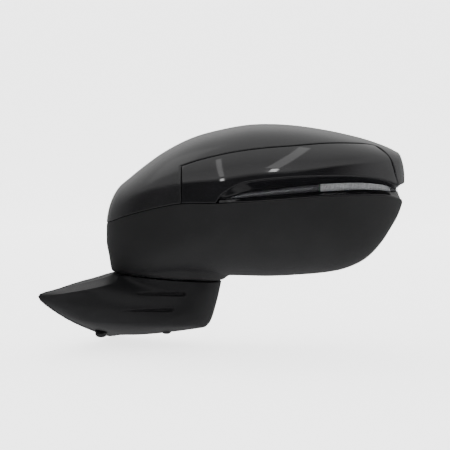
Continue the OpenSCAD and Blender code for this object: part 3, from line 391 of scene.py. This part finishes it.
def upper_cap():
    left, right = cap_controls()
    left, right = spread(left, 56), spread(right, 170)
    left_raw = shell_columns(left[:, :2], left[:, 2])
    right_raw = shell_columns(right[:, :2], right[:, 2])
    low_rows, high_rows = 24, 60
    corner = trim_top(TRIM_X0) + PANEL_GAP / 2
    edge = left_raw[:, -1]
    share = np.interp(corner, edge[:60, 2], lengths(left_raw)[:60, -1]) / lengths(left_raw)[-1, -1]
    dense = np.r_[0, 0.004, 0.012, 0.025, 0.045, np.linspace(0.08, 0.92, low_rows), 0.96, 0.98, 1]
    rise = np.r_[0.004, 0.012, 0.022, np.linspace(0.04, 0.97, high_rows), 0.982, 0.991, 0.996, 0.999, 1]
    left_stops = np.r_[share * dense, mix(share, 1, rise)]
    right_stops = np.r_[np.zeros(len(dense)), rise]
    grid = np.concatenate([
        resample(left_raw, left_stops[:, None] * lengths(left_raw)[-1]),
        resample(right_raw, right_stops[:, None] * lengths(right_raw)[-1])[:, 1:]], axis=1)
    rows, cols = grid.shape[:2]
    mask = np.ones((rows - 1, cols - 1), bool)
    mask[:len(dense) - 1, len(left) - 1:] = False
    return skin_panel("gloss_cap", grid, edge_roll, 2.4, mask)


def front_at(xz):
    return np.stack([xz[..., 0], front_y(xz[..., 0], xz[..., 1]), xz[..., 1]], axis=-1)


def front_trim():
    gap = PANEL_GAP / 2
    x = np.r_[TRIM_X0 + PANEL_GAP + np.array([0, 0.06, 0.2, 0.4, 0.7, 1.2]), np.arange(89, 114, 2),
              np.arange(114.5, 122, 0.75), np.arange(122.5, 250, 2.2)]
    low = np.where(x < SCOOP_X0, seam(x) + gap, lip(x))
    low_edge = np.stack([x, low], axis=-1)
    top_edge = np.stack([x, trim_top(x) - gap], axis=-1)
    low_end = through([low_edge[-1], (256, 107.8), (260.4, 106.3), (263.7, 105), (266.9, 103.6)], 7)
    top_end = through([top_edge[-1], (258.6, 128), (262.4, 119), (264.8, 111), (267.1, 104.8)], 7)
    low_edge = np.vstack([low_edge, low_end[1:]])
    top_edge = np.vstack([top_edge, top_end[1:]])
    t = np.linspace(0, 1, 90)[:, None, None]
    dense = front_at(mix(low_edge[None], top_edge[None], t))
    grid = resample(dense, stops_along(lengths(dense)[-1], (LIP_ROLL, SEAM_ROLL), 24))
    return skin_panel("gloss_trim", grid, edge_roll, 2.4)


def to_axis(p):
    q = p - AXIS_AT
    return np.stack([q[..., 0] * math.cos(AXIS_LEAN) - q[..., 2] * math.sin(AXIS_LEAN), q[..., 1],
                     q[..., 0] * math.sin(AXIS_LEAN) + q[..., 2] * math.cos(AXIS_LEAN)], axis=-1)


def from_axis(q):
    return AXIS_AT + np.stack([q[..., 0] * math.cos(AXIS_LEAN) + q[..., 2] * math.sin(AXIS_LEAN),
                               q[..., 1],
                               q[..., 2] * math.cos(AXIS_LEAN) - q[..., 0] * math.sin(AXIS_LEAN)],
                              axis=-1)


COLLAR_H, COLLAR_HOLE = 2.6, 0.88


def neck_reach(q):
    return np.hypot(q[..., 0] / NECK_A, q[..., 1] / NECK_B)


def collar(p):
    """Gathers the cover's underside into the oval collar that stands on the foot."""
    q = to_axis(p)
    r = neck_reach(q)
    free = np.maximum(q[..., 2], DECK_Z + COLLAR_H)
    low = ease((18 - q[..., 2]) / 13)
    drawn = mix(DECK_Z, free, ease((r - 1) / 0.15))
    grow = np.where(low > 0, np.maximum(1, COLLAR_HOLE / np.maximum(r, 0.01)), 1)
    return from_axis(np.stack([q[..., 0] * grow, q[..., 1] * grow, mix(free, drawn, low)], axis=-1))


def lower_cover():
    gap = PANEL_GAP / 2
    controls = [rim_control(LEFT_RIM_ANGLE - 0.01)]
    controls += [[x, seam(x) - gap, angle_of(d)] for x, d in COVER_LEFT]
    controls += [[x, seam(x) - gap, straight_angle(x, -1)] for x in np.arange(76, 236, 2)]
    controls += [[x, seam(x) - gap, angle_of(d)] for x, d in COVER_RIGHT]
    controls += [rim_control(COVER_RIGHT_RIM)]
    controls = np.array(controls)
    controls[controls[:, 2] > math.pi / 2, 2] -= 2 * math.pi
    columns = spread(controls, 230)
    raw = shell_columns(columns[:, :2], columns[:, 2])
    grid = resample(raw, stops_along(lengths(raw)[-1], (LIP_ROLL, RIM_ROLL), 110))
    q = to_axis(grid)
    inside = (neck_reach(q) < COLLAR_HOLE) & (q[..., 2] < 14)
    mask = ~(inside[:-1, :-1] & inside[1:, :-1] & inside[:-1, 1:] & inside[1:, 1:])

    def cover_roll(p):
        return np.where(neck_reach(to_axis(p)) < 1.05, 0.01, edge_roll(p))

    return skin_panel("grained_cover", grid, cover_roll, 2.4, mask, collar)


# ================= Lamp in the scoop =================
LAMP_X0, LENS_X0, LAMP_CORNER, LAMP_BACK = 116.0, 127.0, 256.0, 36.0
SCOOP_DEPTH, SCOOP_END_DEPTH = 9, 5.5
TROUGH_X0, TROUGH_SHARE = 204, 0.72
ROD_X0, ROD_X1, ROD_R, ROD_INSET = 130, 196, 0.9, 3.6


def end_x(z):
    """Where the head ends at height z."""
    x = np.full_like(z, HEAD_X1 - 1.0)
    for _ in range(6):
        dz = z - centre(x)
        share = np.minimum(np.abs(dz) / size_at(x, dz > 0), 0.99)
        x = HEAD_MID + HEAD_HALF * (1 - share**OUTLINE_POWER) ** (1 / OUTLINE_POWER)
    return x


def lamp_stations(x0=LAMP_X0, front=90, corner=20, side=12, back=LAMP_BACK):
    """Places along the scoop: [x or share of the corner or y, kind], kind 0 front, 1 corner, 2 side."""
    rows = [[x, 0] for x in np.linspace(x0, LAMP_CORNER, front)]
    rows += [[1 - (1 - t) ** 2.0, 1] for t in np.linspace(0, 1, corner + 1)[1:]]
    rows += [[y, 2] for y in np.linspace(MID_Y, back, side + 1)[1:]]
    return np.array(rows)


def lamp_x(station):
    """The x at which the scoop's lines are read for a station."""
    return np.where(station[1] == 0, station[0],
                    np.where(station[1] == 1, mix(LAMP_CORNER, HEAD_X1, station[0]), HEAD_X1))


def lamp_point(station, z, inset):
    value, kind = station
    last = end_x(z)
    if kind == 0:
        p = front_at(np.stack([np.full_like(z, value), z], axis=-1))
    elif kind == 1:
        p = front_at(np.stack([mix(LAMP_CORNER, last, value), z], axis=-1))
    else:
        q = (value - MID_Y) / (RIM_Y - MID_Y)
        p = np.stack([last - RIM_TAPER * q * q, np.full_like(z, value), z], axis=-1)
    return p - np.asarray(inset)[:, None] * outward(p)


def lamp_depth(x):
    shallow = 0.35 + 0.65 * ease((x - 121) / 30)
    return SCOOP_DEPTH * shallow - (SCOOP_DEPTH - SCOOP_END_DEPTH) * ease((x - 235) / 30)


def thicken(piece, wall):
    """Gives a sheet its wall, inward from the face that shows."""
    solid = piece.modifiers.new("wall", "SOLIDIFY")
    solid.thickness = wall * MM
    solid.offset = -1
    return piece


def lamp_sheet(name, stations, profile, wall=1.0, mask=None):
    """A strip along the scoop; profile(x) gives its rows as [inset, z], and the mask opens it."""
    rows = [np.array(profile(float(lamp_x(st)))) for st in stations]
    grid = np.stack([lamp_point(st, r[:, 1], r[:, 0]) for st, r in zip(stations, rows)], axis=1)
    points = grid.reshape(-1, 3)
    faces = facing(grid_faces(*grid.shape[:2], mask), points, outward(points))
    return thicken(to_object(name, points, faces), wall)


def scoop_window(stations, rows=14, window_row=6):
    """Leaves out the part of the scoop's rear wall that the lens fills."""
    mask = np.ones((rows - 1, len(stations) - 1), bool)
    for j, (value, kind) in enumerate(stations[:-1]):
        mask[window_row, j] = not (kind == 0 and value > LENS_X0 + 0.5 or kind == 1 and value < 0.9)
    return mask


def scoop_profile(x):
    """Roof, rear wall with the lens's opening, and sill of the scoop."""
    u, l, d = float(lip(x)), float(seam(x)), float(lamp_depth(x))
    a, b = float(lens_top(x)), float(lens_low(x))
    start = min(LIP_ROLL + 1.9, 0.8 * d)
    knots = [[start, u + 0.8], [start, u - 0.1], [mix(start, d, 0.25), u - 0.8],
             [mix(start, d, 0.8), mix(a, u, 0.35)], [d, a + 0.9],
             [d + 0.3, a + 0.2], [d + 1.6, a], [d + 1.6, b], [d + 0.3, b - 0.2],
             [d, b - 0.9], [mix(start, d, 0.7), mix(l, b, 0.45)], [mix(start, d, 0.2), l + 0.7],
             [start, l + 0.1], [start, l - 0.8]]
    return knots


def lens_profile(x):
    d, a, b = float(lamp_depth(x)), float(lens_top(x)), float(lens_low(x))
    across = np.linspace(-1, 1, 13)
    crown = 0.9 + 1.3 * np.abs(across) ** 2.5
    return np.stack([d - 0.7 + crown, mix(a - 0.1, b + 0.1, (across + 1) / 2)], axis=-1)


def trough_profile(x):
    d, a, b = float(lamp_depth(x)), float(lens_top(x)), float(lens_low(x))
    turn = np.linspace(-1, 1, 15)
    bowl = 2.6 + 1.8 * (1 - np.abs(turn) ** 3)
    flute = 0.3 * math.sin(2 * math.pi * x / 2.6) * (1 - turn**2)
    return np.stack([d + bowl + flute, mix(a + 0.6, b - 0.6, (turn + 1) / 2)], axis=-1)


def lamp_tube(name, x0, x1, radius, inset, count=60, sides=12):
    """Light guide: a rod that runs along the middle of the lens."""
    rings = []
    for x in np.linspace(x0, x1, count):
        middle = (lens_top(x) + lens_low(x)) / 2
        p = lamp_point((x, 0), np.array([middle]), [lamp_depth(x) + inset])[0]
        turn = np.linspace(0, 2 * math.pi, sides, endpoint=False)
        rings.append(p + np.stack([0 * turn, radius * np.cos(turn), radius * np.sin(turn)], axis=-1))
    points = np.concatenate(rings)
    faces = grid_faces(count, sides, ring=True)
    faces += [tuple(range(sides)), tuple(range((count - 1) * sides, count * sides))[::-1]]
    return to_object(name, points, [tuple(reversed(f)) for f in faces])


# ================= Foot =================
FOOTPRINT = np.array([[-70.5, 14.4], [-38, -3.6], [8, -20.6], [57, -32.6], [74, -14], [62, 19.5],
                      [15, 21.2], [-38, 18]], float)
FOOT_PLACES = np.array([
    [[-8, -56, 16.5], [10, -49, 19], [22, -40, 21], [30, -29, 23]],
    [[10, -42, -9], [55, -41, -10], [86, -37, -4], [92, -33, 12]],
    [[42, -8, -23.8], [92, -18, -17.8], [106.6, -16, -13.2], [112.6, -16, 4]],
    [[50, 34, -26.8], [92, 14, -19.8], [105.5, 10, -14.6], [112.6, 12, 3.5]],
    [[50, 58, -10], [75, 46, -5], [88, 38, 2], [91, 34, 12]],
    [[33, 54, 21], [39, 46, 22], [44, 40, 23], [48, 33, 24.5]],
    [[10, 14, 22.5], [15, 12, 24], [20, 10.5, 25.8], [24.5, 9.5, 27.3]],
    [[-9, -32, 19.5], [1, -28, 21.4], [12, -24, 23.6], [22, -19, 26]]], float)
NECK_TURN = np.array([-150, -65, -30, 25, 70, 120, 165, 190], float)
FOOT_START, DECK_HOLE, BEVEL_AT = 1.0, 24, 7.5


def from_door(q):
    c, s = math.cos(DOOR_TURN), math.sin(DOOR_TURN)
    return np.stack([q[..., 0] * c + q[..., 1] * s, q[..., 1] * c - q[..., 0] * s, q[..., 2]], axis=-1)


def round_trip(rows, at):
    """Closed smooth path through rows, at places counted in rows."""
    n = len(rows)
    i = np.floor(at).astype(int)
    t = (at - i).reshape((-1,) + (1,) * (rows.ndim - 1))
    return spline(*(rows[(i + k) % n] for k in (-1, 0, 1, 2)), t)


def straight_trip(rows, at):
    """The same closed path with straight sides, so that the foot's faces stay flat."""
    i = np.floor(at).astype(int)
    t = (at - i).reshape((-1,) + (1,) * (rows.ndim - 1))
    return mix(rows[i % len(rows)], rows[(i + 1) % len(rows)], t)


def neck_turn_at(at):
    n = len(NECK_TURN)
    i = np.floor(at).astype(int)
    rows = [NECK_TURN[(i + k) % n] + 360 * np.floor_divide(i + k, n) for k in (-1, 0, 1, 2)]
    return np.radians(spline(*rows, at - i))


def oval(turn, a, b, z):
    return from_axis(np.stack([a * np.cos(turn), b * np.sin(turn), np.full_like(turn, z)], axis=-1))


def foot_grid(per_front=56, per_back=26, steps=18):
    """Rows from the door to the neck, columns round the foot, finest on its front."""
    at = np.concatenate([np.linspace(k, k + 1, per_front if k in (0, 1, 7) else per_back, endpoint=False)
                         for k in range(len(FOOTPRINT))])
    door = round_trip(FOOTPRINT, at)
    turn = neck_turn_at(at)
    start = from_door(np.stack([np.full(len(at), FOOT_START), door[:, 0], door[:, 1]], axis=-1))
    off_bevel = np.abs((at - BEVEL_AT + 4) % 8 - 4)
    flat = mix(0.1, 0.95, ease((1.1 - off_bevel) / 0.5))[:, None, None]
    places = mix(round_trip(FOOT_PLACES, at), straight_trip(FOOT_PLACES, at), flat)
    controls = np.concatenate([start[None], places.transpose(1, 0, 2),
                               oval(turn, NECK_A, NECK_B, -DECK_Z)[None]])
    last = len(controls) - 1
    t = np.linspace(0, 1, steps, endpoint=False)[:, None, None]
    spans = [spline(*(controls[min(max(i + k, 0), last)] for k in (-1, 0, 1, 2)), t)
             for i in range(last)]
    q = to_axis(np.concatenate(spans + [controls[-1:]]))
    q[..., 2] = np.minimum(q[..., 2], -DECK_Z)
    return from_axis(q), turn


STRAKES = [[(47, 14.3), (89, 13.4)], [(37, 0.4), (79, 0.6)]]


def strake_cut(p):
    """How deep the two gill-like strakes on the foot's front cut at points p."""
    cut = np.zeros(p.shape[:-1])
    for (x0, z0), (x1, z1) in STRAKES:
        t = (p[..., 0] - x0) / (x1 - x0)
        middle = mix(z0, z1, t)
        half = mix(0.5, 1.7, np.clip(t, 0, 1))
        past = np.clip((p[..., 0] - x1 + 1.7) / 1.7, 0, None)
        across = np.hypot((p[..., 2] - middle) / half, past)
        ramp = ease(t / 0.18)
        cut = np.maximum(cut, 2.8 * mix(0.5, 1, np.clip(t, 0, 1)) * ramp * ease((1.25 - across) / 0.7))
    return cut * (p[..., 1] < -25)


def grid_normals(grid):
    """Outward normals of a grid whose columns close into a ring."""
    along = np.gradient(grid, axis=0)
    ring = np.roll(grid, -1, axis=1) - np.roll(grid, 1, axis=1)
    return unit(np.cross(ring, along))


def base_cover():
    grid, turn = foot_grid()
    normals = grid_normals(grid)
    grid = grid - normals * strake_cut(grid)[..., None]
    deck = []
    for share, drop in ((0.999, 0.0), (0.985, 0.0), (0.9, 0.0)):
        deck.append(oval(turn, NECK_A * share, NECK_B * share, -DECK_Z - drop))
    deck.append(from_axis(np.stack([DECK_HOLE * np.cos(turn), DECK_HOLE * np.sin(turn),
                                    np.full_like(turn, -DECK_Z)], axis=-1)))
    grid = np.concatenate([grid, np.stack(deck)])
    points = grid.reshape(-1, 3)
    faces = facing(grid_faces(*grid.shape[:2], ring=True), points, grid_normals(grid).reshape(-1, 3))
    piece = to_object("grained_foot", points, faces)
    solid = piece.modifiers.new("wall", "SOLIDIFY")
    solid.thickness = 2 * MM
    solid.offset = -1
    return piece


def lathe(name, profile, at, sides=40):
    """A round piece: profile rows [radius, height] turned about an upright line at a place."""
    turn = np.linspace(0, 2 * math.pi, sides, endpoint=False)
    r, z = np.array(profile, float).T
    grid = np.stack([r[:, None] * np.cos(turn), r[:, None] * np.sin(turn), z[:, None] + 0 * turn], axis=-1)
    faces = grid_faces(len(profile), sides, ring=True)
    ends = [tuple(range(sides))[::-1], tuple(range((len(profile) - 1) * sides, len(profile) * sides))]
    return to_object(name, grid.reshape(-1, 3) + np.array(at), faces + ends)


# Screw heads under the foot: name, place, radius and how far the head stands down
SCREW_HEADS = [("round_head", (16, 6, -22), 5.2, 6.3), ("low_head", (72.5, -12, -20.6), 4.6, 2.4)]


def underside_screws():
    """Round head of the foot's front screw, and the low head of the one outboard of it."""
    pieces = []
    for name, at, r, drop in SCREW_HEADS:
        profile = [[0.2, -drop], [0.45 * r, 0.1 - drop], [0.75 * r, 0.8 - drop], [0.94 * r, 2.0 - drop],
                   [r, 3.2 - drop], [r, 0.5], [2.1, 1.0], [2.1, 8]]
        pieces.append(lathe(name, profile, at))
    return pieces


def cover_tongue():
    """Moulded tongue of the lower cover that stands behind its seam with the cap and the trim."""
    x = np.linspace(30, SCOOP_X0 - 4, 70)
    rows = [front_at(np.stack([x, seam(x) + up], axis=-1)) for up in (-5, -2.5, 0, 2.5, 5)]
    grid = np.stack(rows)
    grid = grid - TONGUE_INSET * outward(grid)
    points = grid.reshape(-1, 3)
    faces = facing(grid_faces(*grid.shape[:2]), points, outward(points))
    return thicken(to_object("cover_tongue", points, faces), TONGUE_WALL)


# ================= Materials =================
def node_chain(name):
    material = bpy.data.materials.new(name)
    material.use_nodes = True
    nodes, links = material.node_tree.nodes, material.node_tree.links
    return material, nodes, links, nodes["Principled BSDF"]


def noise(nodes, links, size_mm, detail=3.0, stretch=(1, 1, 1)):
    """Noise whose grains are size_mm across, in the piece's own coordinates."""
    where = nodes.new("ShaderNodeTexCoord")
    mapping = nodes.new("ShaderNodeMapping")
    mapping.inputs["Scale"].default_value = stretch
    texture = nodes.new("ShaderNodeTexNoise")
    texture.inputs["Scale"].default_value = 1 / (size_mm * MM)
    texture.inputs["Detail"].default_value = detail
    links.new(where.outputs["Object"], mapping.inputs["Vector"])
    links.new(mapping.outputs["Vector"], texture.inputs["Vector"])
    return texture.outputs["Fac"]


def ranged(nodes, links, value, low, high):
    node = nodes.new("ShaderNodeMapRange")
    node.inputs["From Min"].default_value = 0.3
    node.inputs["From Max"].default_value = 0.7
    node.inputs["To Min"].default_value = low
    node.inputs["To Max"].default_value = high
    links.new(value, node.inputs["Value"])
    return node.outputs["Result"]


def shaded(nodes, links, value, colour, vary):
    ramp = nodes.new("ShaderNodeValToRGB")
    ramp.color_ramp.elements[0].position = 0.3
    ramp.color_ramp.elements[1].position = 0.7
    ramp.color_ramp.elements[0].color = (*(c * (1 - vary) for c in colour), 1)
    ramp.color_ramp.elements[1].color = (*(min(c * (1 + vary), 1) for c in colour), 1)
    links.new(value, ramp.inputs["Fac"])
    return ramp.outputs["Color"]


def finish(name, colour, roughness, metallic=0.0, grain=0.8, bump=0.0, vary=0.1, rough_vary=0.05,
           stretch=(1, 1, 1), coat=0.0, alpha=1.0, specular=0.5):
    """A moulded, cast or turned finish: fine grain in its bump, slow change in its colour."""
    material, nodes, links, shader = node_chain(name)
    fine = noise(nodes, links, grain, 2.0, stretch)
    slow = noise(nodes, links, 18, 3.0)
    links.new(shaded(nodes, links, slow, colour, vary), shader.inputs["Base Color"])
    rough = ranged(nodes, links, fine, max(roughness - rough_vary, 0), min(roughness + rough_vary, 1))
    links.new(rough, shader.inputs["Roughness"])
    shader.inputs["Metallic"].default_value = metallic
    shader.inputs["Specular IOR Level"].default_value = specular
    shader.inputs["Alpha"].default_value = alpha
    shader.inputs["Coat Weight"].default_value = coat
    shader.inputs["Coat Roughness"].default_value = 0.02
    if bump:
        node = nodes.new("ShaderNodeBump")
        node.inputs["Strength"].default_value = 1.0
        node.inputs["Distance"].default_value = bump * MM
        links.new(fine, node.inputs["Height"])
        links.new(node.outputs["Normal"], shader.inputs["Normal"])
    return material


FINISHES = {
    "gloss_black": dict(colour=(0.004, 0.004, 0.0045), roughness=0.05, rough_vary=0.02, vary=0.2, grain=6,
                        coat=0.5),
    "satin_cap": dict(colour=(0.006, 0.006, 0.0065), roughness=0.24, rough_vary=0.02, vary=0.15, grain=4,
                      coat=0.3),
    "textured_black": dict(colour=(0.006, 0.006, 0.0065), roughness=0.5, grain=0.9, bump=0.06, vary=0.08,
                           specular=0.34),
    "foot_black": dict(colour=(0.0055, 0.0055, 0.006), roughness=0.44, grain=0.8, bump=0.05, vary=0.08,
                       specular=0.22),
    "satin_black": dict(colour=(0.003, 0.003, 0.0035), roughness=0.14, grain=1.2, bump=0.005),
    "inner_plastic": dict(colour=(0.02, 0.02, 0.022), roughness=0.5, grain=1.5, bump=0.05),
    "white_plastic": dict(colour=(0.62, 0.6, 0.54), roughness=0.42, grain=1.5, bump=0.02),
    "rubber": dict(colour=(0.012, 0.012, 0.013), roughness=0.7, grain=0.7, bump=0.05),
    "die_cast": dict(colour=(0.45, 0.46, 0.48), roughness=0.45, metallic=1.0, grain=1.1, bump=0.09),
    "steel": dict(colour=(0.52, 0.53, 0.55), roughness=0.32, metallic=1.0, grain=0.6, bump=0.01,
                  stretch=(1, 1, 9)),
    "spring_steel": dict(colour=(0.38, 0.39, 0.41), roughness=0.28, metallic=1.0, grain=0.5, bump=0.01),
    "brass": dict(colour=(0.68, 0.5, 0.22), roughness=0.3, metallic=1.0, grain=0.5, bump=0.01,
                  stretch=(6, 1, 1)),
    "reflector": dict(colour=(0.88, 0.89, 0.91), roughness=0.36, metallic=0.35, grain=3, vary=0.05,
                      rough_vary=0.04),
    "circuit_board": dict(colour=(0.02, 0.16, 0.06), roughness=0.35, grain=0.9, bump=0.03, vary=0.25),
    "led": dict(colour=(0.8, 0.7, 0.35), roughness=0.25, grain=0.5, vary=0.1),
    "heater": dict(colour=(0.04, 0.042, 0.045), roughness=0.4, grain=2.0, bump=0.03, vary=0.3),
    "mirror": dict(colour=(0.86, 0.88, 0.9), roughness=0.015, metallic=1.0, grain=25, vary=0.01,
                   rough_vary=0.01),
    "clear_lens": dict(colour=(0.06, 0.06, 0.065), roughness=0.03, rough_vary=0.01, grain=9, vary=0.01,
                       alpha=0.3),
    "light_guide": dict(colour=(0.3, 0.31, 0.32), roughness=0.12, grain=2, vary=0.02, alpha=0.4),
}
materials = {name: finish(name, **values) for name, values in FINISHES.items()}


def dress(piece, slot_name):
    piece.data.materials.clear()
    piece.data.materials.append(materials[slot_name])


def add_piece(piece, body, slot_name, *nodes):
    """Gives a piece its body and its finish, and hides the CAD nodes that it stands for."""
    dress(piece, slot_name)
    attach(piece, body)
    if nodes:
        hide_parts(*nodes)
    return piece


# Edge rounds of the CAD nodes that stay, and the angles from which an edge is sharp or rounded
EDGED = {"rear_bezel": 0.6, "mirror_glass": 0.4, "door_gasket": 0.2, "base_bracket": 0.3,
         "head_frame": 0.3, "mounting_studs": 0.4, "locating_pegs": 0.5, "wiring_grommet": 0.4}
SHARP_FROM, ROUND_FROM = math.radians(32), math.radians(35)


def dress_frame():
    """Finishes and small edge rounds for the CAD nodes that stay."""
    slots = {s["node"]: s["material_slot"] for s in frame["record"]["subparts"]}
    for name, node in frame["nodes"].items():
        node.data.polygons.foreach_set("use_smooth", [True] * len(node.data.polygons))
        node.data.set_sharp_from_angle(angle=SHARP_FROM)
        node.data.materials.clear()
        node.data.materials.append(materials[slots[name]])
        if name in EDGED:
            round_off = node.modifiers.new("edge", "BEVEL")
            round_off.width = EDGED[name] * MM
            round_off.segments = 2
            round_off.limit_method = "ANGLE"
            round_off.angle_limit = ROUND_FROM


# ================= Stage and light =================
FLOOR_LIGHT, BACKDROP = 2.4, (2.2, 2.2, 2.2, 1)


def add_stage():
    """Pale floor at the mirror's lowest point, which sweeps up behind it."""
    ground = cad_low[2] / MM
    width, front, bend_y, radius, top = 6000, -4000, 1400, 900, 4200
    turn = np.linspace(0, math.pi / 2, 24)
    profile = [[front, ground], [0, ground], [bend_y, ground]]
    profile += [[bend_y + radius * math.sin(a), ground + radius * (1 - math.cos(a))] for a in turn[1:]]
    profile += [[bend_y + radius, top]]
    points = [[x, y, z] for y, z in profile for x in (-width, width)]
    faces = [(2 * i, 2 * i + 1, 2 * i + 3, 2 * i + 2) for i in range(len(profile) - 1)]
    floor = to_object("floor", points, faces)
    material, nodes, links, shader = node_chain("pale_floor")
    slow = noise(nodes, links, 400)
    links.new(shaded(nodes, links, slow, (0.88, 0.88, 0.88), 0.01), shader.inputs["Base Color"])
    shader.inputs["Roughness"].default_value = 0.9
    shader.inputs["Emission Color"].default_value = (1, 1, 1, 1)
    shader.inputs["Emission Strength"].default_value = FLOOR_LIGHT
    floor.data.materials.append(material)
    floor.visible_glossy = False


def softbox(name, start, end, target, width, radiance, in_gloss=True):
    """Area light from start to end that faces the target, of an even radiance; all in metres."""
    start, end, target = Vector(start), Vector(end), Vector(target)
    back = ((start + end) / 2 - target).normalized()
    across = (end - start).cross(back).normalized()
    data = bpy.data.lights.new(name, "AREA")
    data.shape = "RECTANGLE"
    data.size, data.size_y = width, (end - start).length
    data.energy = radiance * math.pi * data.size * data.size_y
    light = bpy.data.objects.new(name, data)
    turn = Matrix((across, back.cross(across), back)).transposed()
    light.matrix_world = Matrix.Translation((start + end) / 2) @ turn.to_4x4()
    light.visible_glossy = in_gloss
    bpy.context.scene.collection.objects.link(light)


def seen_in(x, z, distance):
    """Place at a distance whose light the skin at x, z sends to the camera."""
    p = front_at(np.array([x, z], float))
    normal = outward(p[None])[0]
    view = unit(np.array(bpy.context.scene.camera.location) / MM - p)
    return (p + distance * (2 * (view @ normal) * normal - view)) * MM


# Radiance of the studio by the sine of the elevation, in front of the mirror and behind it
FRONT_SKY = [(-1, 0.45), (-0.6, 0.5), (-0.35, 0.7), (-0.22, 0.06), (0.38, 0.07), (0.47, 0.85),
             (0.7, 0.75), (1, 1.1)]
SIDE_SKY = [(-1, 0.5), (-0.5, 0.5), (-0.1, 0.7), (0.3, 0.8), (0.6, 0.9), (1, 1.1)]
REAR_SKY = [(-1, 0.5), (-0.5, 0.35), (-0.1, 0.25), (0.2, 0.5), (0.6, 1.0), (1, 1.1)]

# Small lights that show in the trim: skin places [x, z] of both ends, width in metres and radiance
GLINTS = [("upright_band", (119.5, 112), (116.5, 126), 0.035, 1.3),
          ("leaning_band", (161, 119), (188, 135.5), 0.08, 1.1),
          ("left_spark", (119.8, 108.6), (119.6, 110.4), 0.03, 9),
          ("middle_spark", (161, 116), (163.4, 118.4), 0.04, 9)]
GLINT_DISTANCE = 1300


def sky_ramp(nodes, links, height, stops):
    ramp = nodes.new("ShaderNodeValToRGB")
    elements = ramp.color_ramp.elements
    while len(elements) < len(stops):
        elements.new(0.5)
    for element, (level, radiance) in zip(elements, stops):
        element.position = (level + 1) / 2
        element.color = (radiance, radiance, radiance, 1)
    links.new(height, ramp.inputs["Fac"])
    return ramp.outputs["Color"]


def spanned(nodes, links, value, low, high):
    node = nodes.new("ShaderNodeMapRange")
    node.inputs["From Min"].default_value = low
    node.inputs["From Max"].default_value = high
    links.new(value, node.inputs["Value"])
    return node.outputs["Result"]


def add_world():
    """Soft studio around the mirror: dark low in front, light above and behind."""
    world = bpy.data.worlds.new("studio")
    world.use_nodes = True
    nodes, links = world.node_tree.nodes, world.node_tree.links
    where = nodes.new("ShaderNodeTexCoord")
    split = nodes.new("ShaderNodeSeparateXYZ")
    links.new(where.outputs["Generated"], split.inputs["Vector"])
    height = spanned(nodes, links, split.outputs["Z"], -1, 1)
    blend = nodes.new("ShaderNodeMix")
    blend.data_type = "RGBA"
    links.new(spanned(nodes, links, split.outputs["Y"], -0.35, 0.25), blend.inputs["Factor"])
    links.new(sky_ramp(nodes, links, height, FRONT_SKY), blend.inputs["A"])
    links.new(sky_ramp(nodes, links, height, REAR_SKY), blend.inputs["B"])
    sides = nodes.new("ShaderNodeMix")
    sides.data_type = "RGBA"
    links.new(spanned(nodes, links, split.outputs["X"], 0.5, 0.95), sides.inputs["Factor"])
    links.new(blend.outputs["Result"], sides.inputs["A"])
    links.new(sky_ramp(nodes, links, height, SIDE_SKY), sides.inputs["B"])
    seen = nodes.new("ShaderNodeMix")
    seen.data_type = "RGBA"
    links.new(nodes.new("ShaderNodeLightPath").outputs["Is Camera Ray"], seen.inputs["Factor"])
    links.new(sides.outputs["Result"], seen.inputs["A"])
    seen.inputs["B"].default_value = BACKDROP
    links.new(seen.outputs["Result"], nodes["Background"].inputs["Color"])
    bpy.context.scene.world = world


def add_light():
    add_world()
    middle = cad_middle
    softbox("upper_left", (-1.3, -0.4, 1.5), (-0.6, 0.6, 1.9), middle, 1.0, 0.5)
    softbox("front_fill", (-0.4, -2.0, 0.35), (1.0, -2.0, 0.35), middle, 0.8, 3.0, False)
    for name, low, high, width, radiance in GLINTS:
        ends = [seen_in(*place_on_skin, GLINT_DISTANCE) for place_on_skin in (low, high)]
        softbox(name, *ends, middle, width, radiance)


add_camera()
dress(add_piece(upper_cap(), "head", "gloss_black", "upper_cap"), "satin_cap")
add_piece(front_trim(), "head", "gloss_black", "front_trim")
add_piece(lower_cover(), "head", "textured_black", "lower_cover")
add_piece(cover_tongue(), "head", "textured_black")
stations = lamp_stations()
lens_stations = lamp_stations(LENS_X0, 90, 18, 0)[:-1]
scoop = lamp_sheet("scoop", stations, scoop_profile, mask=scoop_window(stations))
add_piece(scoop, "head", "satin_black", "lamp_channel")
add_piece(lamp_sheet("clear_strip", lens_stations, lens_profile, 1.2), "head", "clear_lens", "lamp_lens")
trough_stations = np.array([[x, 0] for x in np.linspace(TROUGH_X0, LAMP_CORNER, 220)]
                           + [[t, 1] for t in np.linspace(0, TROUGH_SHARE, 40)[1:]])
add_piece(lamp_sheet("silver_trough", trough_stations, trough_profile, 0.6), "head", "reflector",
          "lamp_reflector")
add_piece(lamp_tube("light_rod", ROD_X0, ROD_X1, ROD_R, ROD_INSET), "head", "light_guide", "lamp_light_guide")
add_piece(base_cover(), "base", "foot_black", "base_cover")
for screw in underside_screws():
    add_piece(screw, "base", "satin_black", "base_screws")
dress_frame()
add_stage()
add_light()
